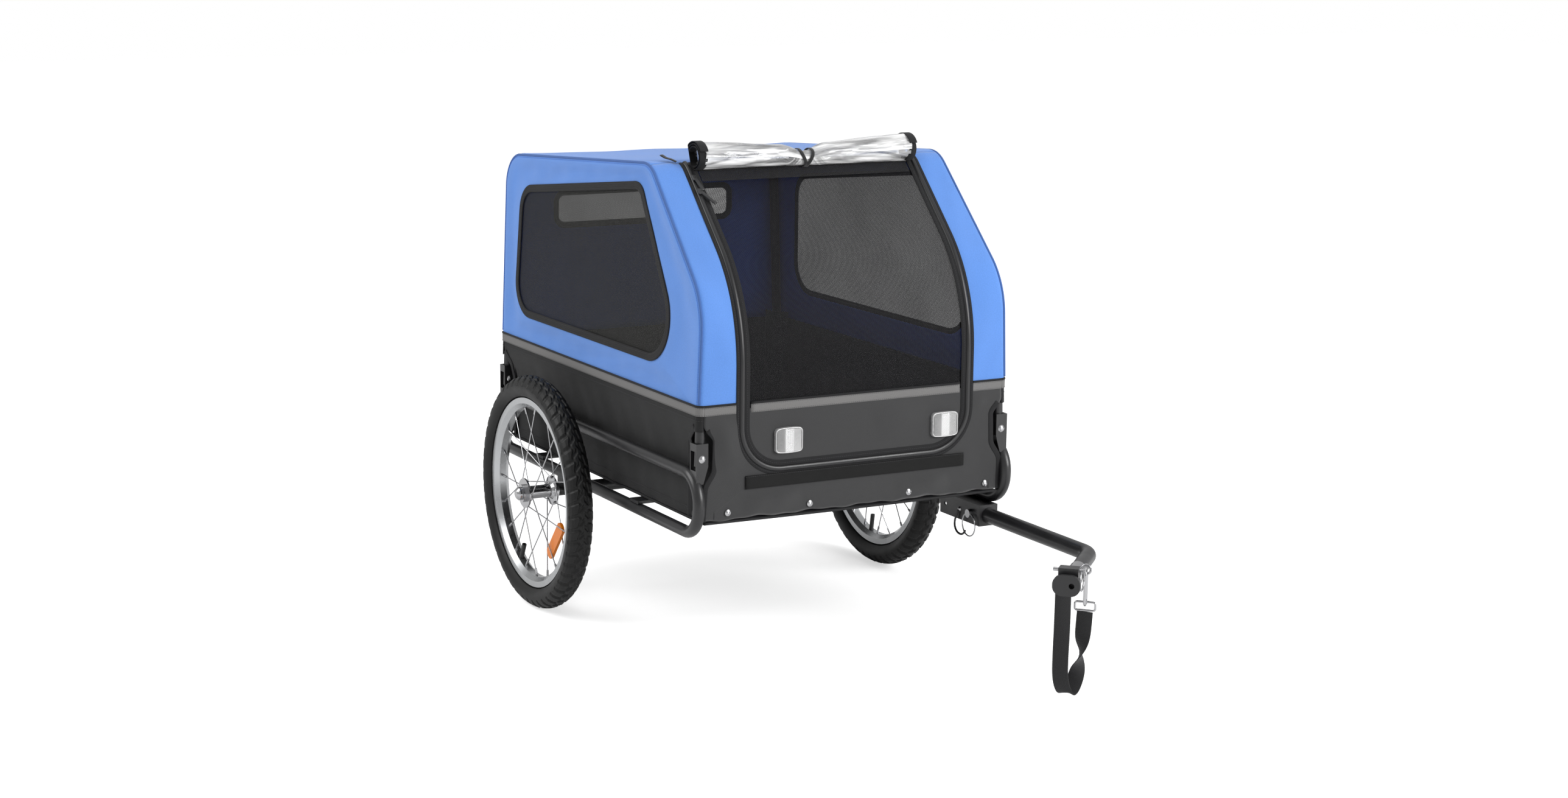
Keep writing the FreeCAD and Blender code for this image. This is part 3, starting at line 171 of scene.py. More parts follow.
def smooth_step(value, low, high):
    """0 below low, 1 above high, and the cubic 3t2 - 2t3 between."""
    t = np.clip((value - low) / (high - low), 0, 1)
    return t * t * (3 - 2 * t)


def xyz(x, y, z):
    """Points from coordinates whose shapes go together."""
    return np.stack(np.broadcast_arrays(x, y, z), -1)


def quads(rows, cols, wrap_rows, wrap_cols):
    """Corner numbers of the faces of a grid, row by row."""
    i, j = np.meshgrid(np.arange(rows if wrap_rows else rows - 1),
                       np.arange(cols if wrap_cols else cols - 1), indexing="ij")
    after, beside = (i + 1) % rows, (j + 1) % cols
    corners = [i * cols + j, after * cols + j, after * cols + beside, i * cols + beside]
    return np.stack(corners, -1).reshape(-1, 4)


def add_mesh(name, points, faces, materials, uv=None):
    """A mesh object at the origin from points, four-cornered faces and a UV place for each point."""
    mesh = bpy.data.meshes.new(name)
    mesh.vertices.add(len(points))
    mesh.vertices.foreach_set("co", np.ascontiguousarray(points, np.float32).ravel())
    mesh.loops.add(faces.size)
    mesh.loops.foreach_set("vertex_index", faces.astype(np.int32).ravel())
    mesh.polygons.add(len(faces))
    mesh.polygons.foreach_set("loop_start", np.arange(0, faces.size, 4, dtype=np.int32))
    mesh.polygons.foreach_set("use_smooth", np.ones(len(faces), bool))
    if uv is not None:
        layer = mesh.uv_layers.new(name="cloth")
        layer.data.foreach_set("uv", np.ascontiguousarray(uv[faces.ravel()], np.float32).ravel())
    mesh.update(calc_edges=True)
    mesh.validate()
    for material in materials:
        mesh.materials.append(material)
    obj = bpy.data.objects.new(name, mesh)
    bpy.context.scene.collection.objects.link(obj)
    return obj


def run_lengths(points, axis):
    """Distance along a grid in one direction, added up from its first line."""
    steps = np.linalg.norm(np.diff(points, axis=axis), axis=-1)
    start = np.zeros_like(np.take(steps, [0], axis=axis))
    return np.cumsum(np.concatenate([start, steps], axis=axis), axis=axis)


def grid(name, points, materials, wrap_rows=False, wrap_cols=False, flip=False):
    """A surface from a grid of points: its UV map is the distance along the rows and the columns."""
    rows, cols = points.shape[:2]
    faces = quads(rows, cols, wrap_rows, wrap_cols)
    if flip:
        faces = faces[:, ::-1]
    uv = np.stack([run_lengths(points, 0), run_lengths(points, 1)], -1)
    return add_mesh(name, points.reshape(-1, 3), faces, materials, uv.reshape(-1, 2))


def merge(name, pieces):
    """Several meshes of one material as one object, with meeting points welded."""
    joined = bmesh.new()
    for piece in pieces:
        joined.from_mesh(piece.data)
    bmesh.ops.remove_doubles(joined, verts=joined.verts, dist=1e-5)
    mesh = bpy.data.meshes.new(name)
    joined.to_mesh(mesh)
    joined.free()
    for material in pieces[0].data.materials:
        mesh.materials.append(material)
    for piece in pieces:
        bpy.data.objects.remove(piece)
    obj = bpy.data.objects.new(name, mesh)
    bpy.context.scene.collection.objects.link(obj)
    return obj


def frames(path, outward, closed):
    """Unit vectors across and out of a path: across is the way along crossed with the outward hint."""
    ahead = np.roll(path, -1, 0) - np.roll(path, 1, 0) if closed else np.gradient(path, axis=0)
    across = unit(np.cross(ahead, outward))
    return across, unit(np.cross(across, ahead))


def sweep(name, path, outward, profile, materials, closed=False):
    """A closed profile (across, out) carried along a path, its open ends drawn in to a point of the path."""
    outward = np.broadcast_to(np.asarray(outward, float), path.shape)
    across, out = frames(path, outward, closed)
    points = path[:, None] + profile[None, :, :1] * across[:, None] + profile[None, :, 1:] * out[:, None]
    if not closed:
        middle = points.mean(1, keepdims=True)
        cap = np.broadcast_to(middle, points.shape)
        points = np.concatenate([cap[:1], points[:1], points, points[-1:], cap[-1:]])
    piece = grid(name, points, materials, wrap_rows=closed, wrap_cols=True)
    return piece if closed else merge(name, [piece])


def round_profile(radius, count=10):
    """Circle, as across and out."""
    turn = np.linspace(0, 2 * math.pi, count, endpoint=False)
    return radius * np.stack([np.cos(turn), np.sin(turn)], -1)


def band_profile(width, gauge, count=5):
    """Flat band lying on the path: half circles of the gauge at both edges."""
    turn = np.linspace(-math.pi / 2, math.pi / 2, count)
    edge = np.stack([np.cos(turn), np.sin(turn)], -1) * gauge / 2
    reach = np.array([width / 2 - gauge / 2, 0])
    lift = np.array([0, gauge / 2])
    return np.concatenate([edge + reach, -edge - reach]) + lift


def band(name, path, outward, size, material, closed=False):
    """Flat band of a width and gauge carried along a path."""
    return sweep(name, path, outward, band_profile(*size), [material], closed)


def matched(line, count):
    """The same line with a given number of even points."""
    along = run_lengths(line, 0)
    places = np.linspace(0, along[-1], count)
    return np.stack([np.interp(places, along, line[:, axis]) for axis in range(line.shape[1])], -1)


def evenly(line, step):
    """The same line with points at even steps."""
    return matched(line, int(run_lengths(line, 0)[-1] / step) + 2)


def rounded_line(corners, bends, closed=False, step=0.004):
    """Straight runs joined by tangent arcs of the bends given, as evenly spaced points in a plane."""
    count = len(corners)
    numbers = range(count) if closed else range(1, count - 1)
    pieces = [] if closed else [corners[:1]]
    for index, number in enumerate(numbers):
        here = corners[number]
        back = unit(corners[number - 1] - here)
        ahead = unit(corners[(number + 1) % count] - here)
        half = (math.pi - math.acos(np.clip(back @ ahead, -1, 1))) / 2
        centre = here + unit(back + ahead) * bends[index] / math.cos(half)
        first = here + back * bends[index] * math.tan(half) - centre
        turn = 2 * half * np.sign(-back[0] * ahead[1] + back[1] * ahead[0])
        angles = np.linspace(0, turn, max(4, int(abs(turn) * bends[index] / step) + 2))
        spun = np.stack([first[0] * np.cos(angles) - first[1] * np.sin(angles),
                         first[0] * np.sin(angles) + first[1] * np.cos(angles)], -1)
        pieces.append(centre + spun)
    pieces.append(pieces[0][:1] if closed else corners[-1:])
    return evenly(np.concatenate(pieces), step)


STITCH_ALONG = np.array([-0.5, -0.32, 0.32, 0.5])
STITCH_GIRTH = np.array([0.15, 1, 1, 0.15])
STITCH_SIDES = 6
STITCH_LIFT = 0.3  # of its radius


def stitches(name, path, outward, materials, pitch=0.0038, length=0.0026, radius=0.00032):
    """A row of thread stitches on a seam: short six-sided spindles, one each pitch along the path."""
    even = evenly(path, pitch)
    normals = np.stack([np.interp(run_lengths(even, 0), run_lengths(path, 0),
                                  np.broadcast_to(outward, path.shape)[:, axis]) for axis in range(3)], -1)
    ahead = unit(np.gradient(even, axis=0))
    across = unit(np.cross(ahead, normals))
    out = np.cross(across, ahead)
    turn = np.linspace(0, 2 * math.pi, STITCH_SIDES, endpoint=False)
    ring = radius * STITCH_GIRTH[:, None, None] * (np.cos(turn)[None, :, None] * across[:, None, None]
                                                   + np.sin(turn)[None, :, None] * out[:, None, None])
    along = length * STITCH_ALONG[None, :, None, None] * ahead[:, None, None]
    points = even[:, None, None] + along + ring + radius * STITCH_LIFT * out[:, None, None]
    faces = quads(len(STITCH_ALONG), STITCH_SIDES, False, True)
    firsts = len(STITCH_ALONG) * STITCH_SIDES * np.arange(len(even))
    faces = (faces[None] + firsts[:, None, None]).reshape(-1, 4)
    return add_mesh(name, points.reshape(-1, 3), faces, materials)


def thicken(obj, gauge, offset=-1.0, inner=0):
    """Gives a sheet its thickness. The inner side may have the object's second material."""
    solid = obj.modifiers.new("thickness", "SOLIDIFY")
    solid.thickness = gauge
    solid.offset = offset
    solid.material_offset = inner
    solid.material_offset_rim = 0
    return obj


def lined(obj):
    """Cloth of the usual gauge, with its second material inside."""
    return thicken(obj, CLOTH, inner=1)


def hump(share, power=1.0):
    """Half a sine over shares from 0 to 1: nothing at both ends, 1 in the middle."""
    return np.clip(np.sin(math.pi * np.clip(share, 0, 1)), 0, 1) ** power


def ripple(u, v, waves):
    """Soft creases: a sum of sines, each with its depth, its waves per metre along u and v, and its phase."""
    return sum(depth * np.sin(2 * math.pi * (a * u + b * v) + phase) for depth, a, b, phase in waves)


# Finishes: shared effects as node groups, then one function for each kind of material

def new_group(name, inputs, outputs):
    """An empty shader node group with named sockets."""
    group = bpy.data.node_groups.new(name, "ShaderNodeTree")
    for label, kind, value in inputs:
        socket = group.interface.new_socket(label, in_out="INPUT", socket_type="NodeSocket" + kind)
        if value is not None:
            socket.default_value = value
    for label, kind in outputs:
        group.interface.new_socket(label, in_out="OUTPUT", socket_type="NodeSocket" + kind)
    return group


def add_node(tree, kind, links=(), **settings):
    """A node with settings, and links as (input, output socket or plain value)."""
    node = tree.nodes.new("ShaderNode" + kind)
    for key, value in settings.items():
        setattr(node, key, value)
    for key, value in links:
        if isinstance(value, bpy.types.NodeSocket):
            tree.links.new(value, node.inputs[key])
        else:
            node.inputs[key].default_value = value
    return node


def maths(tree, operation, *values):
    """One sum on values or sockets."""
    return add_node(tree, "Math", list(enumerate(values)), operation=operation).outputs[0]


def finish_group(group, start, end, shade, height, roughness):
    """Outputs of a shared group: its colour times a shade, its height and its roughness."""
    tint = add_node(group, "VectorMath", [(0, start.outputs["Colour"])], operation="SCALE")
    group.links.new(shade, tint.inputs["Scale"])
    for key, socket in (("Colour", tint.outputs[0]), ("Height", height), ("Roughness", roughness)):
        group.links.new(socket, end.inputs[key])
    return group


GROUP_OUTPUTS = [("Colour", "Color"), ("Height", "Float"), ("Roughness", "Float")]


def weave_group():
    """Plain weave from UV places: warp and weft are sines, over and under by turns, with painted shade darker
    where threads dip under; noise shades it.
    """
    group = new_group("woven_cloth", [("Place", "Vector", None), ("Pitch", "Float", 0.0011),
                                      ("Colour", "Color", (0.5, 0.5, 0.5, 1)), ("Depth", "Float", 0.25)],
                      GROUP_OUTPUTS)
    start = group.nodes.new("NodeGroupInput")
    end = group.nodes.new("NodeGroupOutput")
    place, depth = start.outputs["Place"], start.outputs["Depth"]
    scaled = add_node(group, "VectorMath", [(0, place)], operation="SCALE")
    group.links.new(maths(group, "DIVIDE", 2 * math.pi, start.outputs["Pitch"]), scaled.inputs["Scale"])
    split = add_node(group, "SeparateXYZ", [(0, scaled.outputs[0])])
    warp = maths(group, "SINE", split.outputs[0])
    weft = maths(group, "SINE", split.outputs[1])
    over = maths(group, "MULTIPLY_ADD", maths(group, "MULTIPLY", warp, weft), 0.5, 0.5)
    broad = add_node(group, "TexNoise", [("Vector", place), ("Scale", 9.0), ("Detail", 4.0)]).outputs[0]
    fine = add_node(group, "TexNoise", [("Vector", place), ("Scale", 520.0), ("Detail", 2.0)]).outputs[0]
    mottle = maths(group, "MULTIPLY_ADD", broad, 0.22, 0.80)
    yarn = maths(group, "MULTIPLY_ADD", fine, 0.30, 0.85)
    # Painted shade: lighter where threads lie over, darker where they dip under, by the depth given
    least = maths(group, "SUBTRACT", 1.0, maths(group, "MULTIPLY", depth, 0.5))
    lit = maths(group, "MULTIPLY_ADD", over, depth, least)
    shade = maths(group, "MULTIPLY", maths(group, "MULTIPLY", mottle, yarn), lit)
    return finish_group(group, start, end, shade, maths(group, "MULTIPLY_ADD", fine, 0.5, over),
                        maths(group, "MULTIPLY_ADD", broad, 0.2, 0.62))


def grain_group():
    """Moulded or coated grain from object places: fine speckle for height, broad noise for handling marks."""
    group = new_group("surface_grain", [("Place", "Vector", None), ("Scale", "Float", 900.0),
                                        ("Colour", "Color", (0.5, 0.5, 0.5, 1)), ("Change", "Float", 0.25),
                                        ("Roughness", "Float", 0.5)], GROUP_OUTPUTS)
    start = group.nodes.new("NodeGroupInput")
    end = group.nodes.new("NodeGroupOutput")
    place = start.outputs["Place"]
    scale = start.outputs["Scale"]
    speck = add_node(group, "TexNoise", [("Vector", place), ("Scale", scale), ("Detail", 3.0)])
    marks = add_node(group, "TexNoise", [("Vector", place), ("Scale", 24.0), ("Detail", 6.0)])
    offset = maths(group, "SUBTRACT", marks.outputs[0], 0.5)
    shade = maths(group, "MULTIPLY_ADD", offset, start.outputs["Change"], 1.0)
    return finish_group(group, start, end, shade, speck.outputs[0],
                        maths(group, "MULTIPLY_ADD", offset, 0.35, start.outputs["Roughness"]))


WEAVE = weave_group()
GRAIN = grain_group()


def start_material(name):
    """A node material with its tree and shader."""
    material = bpy.data.materials.new(name)
    material.use_nodes = True
    return material, material.node_tree, material.node_tree.nodes["Principled BSDF"]


def set_values(shader, **values):
    """Plain values on a shader's sockets, each named with _ for its spaces."""
    for key, value in values.items():
        shader.inputs[key.replace("_", " ")].default_value = value


def bump_from(tree, shader, height, strength, distance):
    """Height as a bump on the shader's normal."""
    bump = add_node(tree, "Bump", [("Height", height), ("Strength", strength), ("Distance", distance)])
    tree.links.new(bump.outputs[0], shader.inputs["Normal"])


def place_group(tree, shader, group, place, strength, distance, **values):
    """A shared group with its own values, linked to a shader's colour, roughness and bump."""
    node = tree.nodes.new("ShaderNodeGroup")
    node.node_tree = group
    tree.links.new(place, node.inputs["Place"])
    set_values(node, **values)
    tree.links.new(node.outputs["Colour"], shader.inputs["Base Color"])
    tree.links.new(node.outputs["Roughness"], shader.inputs["Roughness"])
    bump_from(tree, shader, node.outputs["Height"], strength, distance)


def cloth_place(tree):
    """Places along the cloth in metres, from its UV map."""
    return add_node(tree, "UVMap", uv_map="cloth").outputs[0]


def cloth(name, colour, pitch=0.0011, sheen=0.25, depth=0.25, strength=0.35):
    """Coated woven cloth with a soft sheen."""
    material, tree, shader = start_material(name)
    place_group(tree, shader, WEAVE, cloth_place(tree), strength, 0.0004, Pitch=pitch, Colour=(*colour, 1),
                Depth=depth)
    set_values(shader, Sheen_Weight=sheen, Sheen_Roughness=0.5, Specular_IOR_Level=0.3)
    return material


def coated(name, colour, roughness, scale=900.0, change=0.3, strength=0.12, metallic=0.0, coat=0.0,
           specular=0.5):
    """Painted, moulded or plated surface with fine grain and handling marks."""
    material, tree, shader = start_material(name)
    place = add_node(tree, "TexCoord").outputs["Object"]
    place_group(tree, shader, GRAIN, place, strength, 0.0003, Scale=scale, Colour=(*colour, 1), Change=change,
                Roughness=roughness)
    set_values(shader, Metallic=metallic, Specular_IOR_Level=specular, Coat_Weight=coat, Coat_Roughness=0.12)
    return material


def net(name, colour, opening, pitch=0.0021, slope=0.6):
    """See-through net: two slanted sets of threads, with holes where both are absent."""
    material, tree, shader = start_material(name)
    place = cloth_place(tree)
    split = add_node(tree, "SeparateXYZ", [(0, place)])
    threads = []
    for lean in ("ADD", "SUBTRACT"):
        way = maths(tree, lean, split.outputs[0], maths(tree, "MULTIPLY", split.outputs[1], slope))
        wave = maths(tree, "SINE", maths(tree, "MULTIPLY", way, math.pi / pitch))
        threads.append(maths(tree, "ABSOLUTE", wave))
    hole = maths(tree, "MULTIPLY", *threads)
    solid = maths(tree, "SUBTRACT", 1.0, maths(tree, "MULTIPLY", hole, opening))
    broad = add_node(tree, "TexNoise", [("Vector", place), ("Scale", 5.0), ("Detail", 3.0)])
    shift = maths(tree, "MULTIPLY_ADD", broad.outputs[0], 0.16, -0.08)
    alpha = add_node(tree, "Math", [(0, solid), (1, shift)], operation="ADD", use_clamp=True).outputs[0]
    tree.links.new(alpha, shader.inputs["Alpha"])
    set_values(shader, Base_Color=(*colour, 1), Roughness=0.7, Specular_IOR_Level=0.2)
    bump_from(tree, shader, solid, 0.4, 0.0003)
    return material


def lens(name, colour, roughness):
    """Tinted moulded plastic."""
    material, _, shader = start_material(name)
    set_values(shader, Base_Color=(*colour, 1), Roughness=roughness, IOR=1.49)
    return material


FILM_STREAKS = (10.0, 70.0, 1.0)


def film(name):
    """Thin clear film: streaks along its folds go from see-through to milky, and its colour from grey to white
    along them as painted reflection, with sharp highlights.
    """
    material, tree, shader = start_material(name)
    drawn = add_node(tree, "VectorMath", [(0, cloth_place(tree)), (1, FILM_STREAKS)], operation="MULTIPLY")
    streak = add_node(tree, "TexNoise", [("Vector", drawn.outputs[0]), ("Scale", 1.0), ("Detail", 3.0),
                                         ("Distortion", 0.6)]).outputs[0]
    level = add_node(tree, "MapRange", [("Value", streak), ("From Min", 0.32), ("From Max", 0.68)])
    # Grey to white along the streaks: painted reflection of the crumpled film
    shade = add_node(tree, "MapRange", [("Value", streak), ("From Min", 0.35), ("From Max", 0.60),
                                        ("To Min", 0.20), ("To Max", 0.86)])
    tint = add_node(tree, "CombineColor", [(channel, shade.outputs[0]) for channel in range(3)])
    tree.links.new(tint.outputs[0], shader.inputs["Base Color"])
    tree.links.new(maths(tree, "MULTIPLY_ADD", level.outputs[0], 0.40, 0.50), shader.inputs["Alpha"])
    set_values(shader, Roughness=0.07, Coat_Weight=0.8, Coat_Roughness=0.03)
    bump_from(tree, shader, streak, 0.5, 0.0016)
    return material


BLUE = cloth("blue_oxford", (0.100, 0.252, 0.660), sheen=0.2, depth=0.12)
LINING = cloth("blue_lining", (0.080, 0.190, 0.76), sheen=0.05, depth=0.15)
# Darker blue for the seam's welt: painted shade along the seam
SEAM_SHADE_BLUE = cloth("blue_seam_painted_shade", (0.050, 0.125, 0.36), sheen=0.1, depth=0.12)
BLACK = cloth("black_oxford", (0.0065, 0.0065, 0.0070), sheen=0.06, depth=0.3)
# The front's black is the sides' cloth painted lighter: painted light for the stronger lamp on the front
LIT_FRONT_BLACK = cloth("black_oxford_front_painted_light", (0.027, 0.027, 0.028), sheen=0.3, depth=0.3)
BLACK_INSIDE = cloth("black_lining", (0.012, 0.012, 0.013), sheen=0.05, depth=0.3)
TAPE = cloth("black_binding_tape", (0.006, 0.006, 0.007), 0.0014, sheen=0.05, depth=0.5, strength=0.6)
WEBBING = cloth("ribbed_webbing", (0.009, 0.009, 0.010), 0.0024, sheen=0.2, depth=0.6, strength=0.8)
STRIPE = cloth("grey_reflective_tape", (0.155, 0.152, 0.150), 0.0009, sheen=0.05, depth=0.1, strength=0.1)
PILE = cloth("hook_pile", (0.004, 0.004, 0.004), 0.0013, sheen=0.0, depth=0.9, strength=1.0)
NET = net("black_net", (0.007, 0.007, 0.008), 0.86)
SIDE_NET = net("black_side_net", (0.017, 0.017, 0.016), 0.40)
DOUBLE_NET = net("doubled_net", (0.016, 0.016, 0.017), 0.36)
STEEL_BLACK = coated("black_powder_coat", (0.011, 0.011, 0.012), 0.36, coat=0.10)
CHROME = coated("bright_plating", (0.44, 0.44, 0.45), 0.18, 300.0, 0.15, 0.03, metallic=1.0)
ALLOY = coated("brushed_alloy", (0.47, 0.48, 0.49), 0.27, 600.0, 0.2, 0.06, metallic=1.0)
RUBBER = coated("tyre_rubber", (0.007, 0.007, 0.007), 0.48, 700.0, 0.5, 0.3, specular=0.28)
MOULDED = coated("black_moulding", (0.017, 0.017, 0.018), 0.45, 1100.0, 0.3, 0.15)
ZIP_COAT = coated("zip_coating", (0.010, 0.010, 0.011), 0.36, 500.0, 0.2, 0.1)
THREAD = coated("black_thread", (0.030, 0.030, 0.033), 0.6)
BLUE_THREAD = coated("blue_thread", (0.05, 0.17, 0.62), 0.6)
AMBER = lens("amber_prism", (0.66, 0.17, 0.004), 0.30)
# One prism plastic in three greys: painted reflection, lighter and darker by zone
PRISM_REFLECTION_GREYS = [coated("silvered_prism_%d" % number, (grey, grey, grey), 0.26, 500.0, 0.1, 0.02, metallic=0.75,
                 coat=0.3) for number, grey in enumerate((0.30, 0.56, 0.44))]
SILVER = coated("silver_moulding", (0.50, 0.50, 0.50), 0.30, 900.0, 0.15, 0.04, metallic=0.5)
FILM = film("clear_film")
FIBRE = coated("pale_rod", (0.55, 0.54, 0.50), 0.4)
NODE_FINISHES = {"frame_black": STEEL_BLACK, "bright_steel": CHROME, "rim_alloy": ALLOY,
                 "tyre_rubber": RUBBER, "soft_rubber": MOULDED, "cap_plastic": MOULDED, "amber_lens": AMBER,
                 "white_lens": PRISM_REFLECTION_GREYS[1], "zip_tape": TAPE, "glass_fibre": FIBRE, "black_cloth": BLACK}
for row in frame["record"]["subparts"]:
    finish = NODE_FINISHES.get(row["material_slot"])
    if finish:
        for holder in frame["nodes"][row["node"]].material_slots:
            holder.material = finish


# Lines that the cloth is cut along

def side_point(x, out, up, side):
    """World place on a leaning side: x, out from the hoop's plane and up from the fold, turned by the lean."""
    x, out, up = np.broadcast_arrays(x, out, up)
    y = side * (FOLD_Y + out * math.cos(LEAN) - up * math.sin(LEAN))
    return np.stack([x, y, FOLD_Z + out * math.sin(LEAN) + up * math.cos(LEAN)], -1)


def plane_normals(line, closed=False):
    """To the right of the way along a flat line."""
    ahead = unit(np.roll(line, -1, 0) - np.roll(line, 1, 0) if closed else np.gradient(line, axis=0))
    return np.stack([ahead[:, 1], -ahead[:, 0]], -1)


upper = HOOP_CORNERS.copy()
upper[[0, -1], 1] = STRIPE_UP
RIM = rounded_line(upper, HOOP_BENDS)
RIM_OUT = plane_normals(RIM)
crest = int(np.argmax(RIM[:, 0] <= CREST_X))
split = int(np.argmax((RIM[:, 1] + FOLD_Z <= REAR_SPLIT) & (RIM[:, 0] < 0)))
window_corners = np.stack([HOOP_REAR + (HOOP_FRONT - HOOP_REAR) * WINDOW_SHARES[:, 0],
                           STRIPE_UP + (HOOP_CORNERS[2, 1] - STRIPE_UP) * WINDOW_SHARES[:, 1]], -1)
WINDOW = rounded_line(window_corners, WINDOW_BENDS, closed=True)[:-1]
WINDOW_OUT = plane_normals(WINDOW, closed=True)

# Between the hoops the cloth cuts the knee's corner, so the door has a rounder line of its own
soft = rounded_line(upper, (DOOR_KNEE,) + HOOP_BENDS[1:])
door_edge = matched(soft[:int(np.argmax(soft[:, 0] <= CREST_X)) + 1], crest + 1)
DOOR_OUT = plane_normals(door_edge)
DOOR_LINE = door_edge + DOOR_OUT * SKIN
DOOR_LINE[:, 1] = FOLD_Z + DOOR_LINE[:, 1] * math.cos(LEAN)

# Turns round a hoop's tube: from straight out of the side to square to the hoop, with the seam half way
QUARTER = np.linspace(0, math.pi / 2, 9)
SEAM = math.pi / 4
TO_SEAM = np.linspace(0, SEAM, 6)
PAST_SEAM = np.linspace(SEAM, math.pi / 2, 6)


def round_tube(line, normals, turn, side):
    """Cloth that goes round the hoop: no turn is straight out of the side, a quarter is square to the hoop."""
    reach = SKIN * np.sin(turn)
    return side_point(line[:, :1] + normals[:, :1] * reach, SKIN * np.cos(turn),
                      line[:, 1:] + normals[:, 1:] * reach, side)


def between(outer, inner, centre, columns):
    """Grid from an inner to an outer outline: each row lies on the ray from the centre to an outer point."""
    ray = outer - centre
    seen = inner - centre
    order = np.argsort(np.arctan2(seen[:, 1], seen[:, 0]))
    angles = np.arctan2(seen[:, 1], seen[:, 0])[order]
    reach = np.interp(np.arctan2(ray[:, 1], ray[:, 0]), angles, np.linalg.norm(seen, axis=1)[order],
                      period=2 * math.pi)
    start = centre + unit(ray) * reach[:, None]
    share = np.linspace(0, 1, columns)
    return start[:, None] + (outer - start)[:, None] * share[None, :, None], share


def window_rays(rim, centre, columns):
    """Grid of rays from a window's middle to its rim, and the share along them."""
    share = np.linspace(0, 1, columns)
    return centre + (rim - centre)[:, None] * share[None, :, None], share


def planar_uv(obj, places):
    """Sets the UV map from one flat place for each point."""
    loops = np.zeros(len(obj.data.loops), np.int32)
    obj.data.loops.foreach_get("vertex_index", loops)
    obj.data.uv_layers[0].data.foreach_set("uv", np.ascontiguousarray(places[loops], np.float32).ravel())


def cross_run(x, start, finish, z):
    """Straight line across the trailer."""
    return np.linspace((x, start, z), (x, finish, z), 50)


def dressed(obj, body, nodes=(), fold=None):
    """Carries a piece on its body, hides the parts it stands for, and gives it a mesh of its own when a fold is
    given.
    """
    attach(obj, body)
    if nodes:
        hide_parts(*nodes)
    if fold:
        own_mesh(obj)
    return obj


def sway(obj):
    """Bakes cloth's place into its mesh; the cloth is carried on no body."""
    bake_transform(obj)


# Blue sides with their net windows

SIDE_SAG = 0.0035
WELT = round_profile(0.0021, 8)
WELT_LIFT = 0.0006
SEAM_ROW = SEAM - 0.42
SEAM_ROW_LIFT = 0.0004


def side_cloth(name, side):
    """Side above the stripe: from window to hoop, drawn in a little, then round the hoop to the seam."""
    bottom = evenly(np.array([RIM[-1], RIM[0]]), step=0.004)[1:-1]
    outer = np.concatenate([RIM, bottom, RIM[:1]])
    flat, share = between(outer, WINDOW - WINDOW_OUT * LAP, window_corners.mean(0), 16)
    x, up = flat[..., 0], flat[..., 1]
    crease = ripple(x, up, SIDE_CREASES) * hump(share)[None, :]
    out = SKIN - SIDE_SAG * hump(share, 2)[None, :] + crease
    face = grid(name, side_point(x, out, up, side), [BLUE, LINING], flip=side < 0)
    edge = grid(name, round_tube(RIM, RIM_OUT, TO_SEAM, side), [BLUE, LINING], flip=side < 0)
    return lined(merge("side_cloth_" + name, [face, edge]))


def side_net(name, side):
    """Net of the window: rays from the middle to the binding, hollowed a little."""
    flat, share = window_rays(WINDOW - WINDOW_OUT * (BINDING - LAP), window_corners.mean(0), 24)
    out = SKIN - NET_BACK["side"] - NET_HOLLOW * (1 - share[None, :] ** 2)
    points = side_point(flat[..., 0], out, flat[..., 1], side)
    obj = grid("side_net_" + name, points, [SIDE_NET], wrap_rows=True, flip=side < 0)
    planar_uv(obj, flat.reshape(-1, 2))
    return obj


def side_trim(name, side):
    """Binding and stitches round the window, and the welt and stitches of the seam along the hoop."""
    outward = np.array([0, side * math.cos(LEAN), math.sin(LEAN)])
    middle = WINDOW - WINDOW_OUT * BINDING / 2
    path = side_point(middle[:, 0], SKIN - BINDING_SUNK, middle[:, 1], side)
    binding = band("window_binding_" + name, path, outward, BINDING_SIZE, TAPE, closed=True)
    pieces = [(binding, "zip_tape", ["side_window_" + name])]
    for number, inset in enumerate(STITCH_ROWS):
        row = WINDOW - WINDOW_OUT * inset
        seam = side_point(row[:, 0], SKIN + BINDING_TOP, row[:, 1], side)
        label = "window_stitches_%d_%s" % (number, name)
        pieces.append((stitches(label, seam, outward, [THREAD]), "webbing", []))
    above = RIM[:, 1] > WELT_FOOT
    rim, rim_out = RIM[above], RIM_OUT[above]
    slant = unit(np.stack([rim_out[:, 0], np.full(len(rim), side), rim_out[:, 1]], -1))
    welt, row = (round_tube(rim, rim_out, np.array([turn]), side)[:, 0] for turn in (SEAM, SEAM_ROW))
    # The welt is painted a darker blue than the cloth: painted shade of the seam
    welt = sweep("seam_welt_" + name, welt + slant * WELT_LIFT, slant, WELT, [SEAM_SHADE_BLUE])
    row = stitches("seam_stitches_" + name, row + slant * SEAM_ROW_LIFT, slant, [BLUE_THREAD])
    return pieces + [(welt, "blue_cloth", []), (row, "webbing", [])]


for name, side in SIDES.items():
    body = name + "_frame"
    dressed(side_cloth(name, side), body, ["side_panel_" + name])
    dressed(side_net(name, side), body)
    for piece, slot, nodes in side_trim(name, side):
        dressed(piece, body, nodes)


# Cloth across the hoops: front pillars, roof and rear

PILLAR_PUFF = 0.0012
PUFF_START = 0.04
ROOF_SAG = 0.005
REAR_SAG = 0.004
REAR_LAP = 0.002


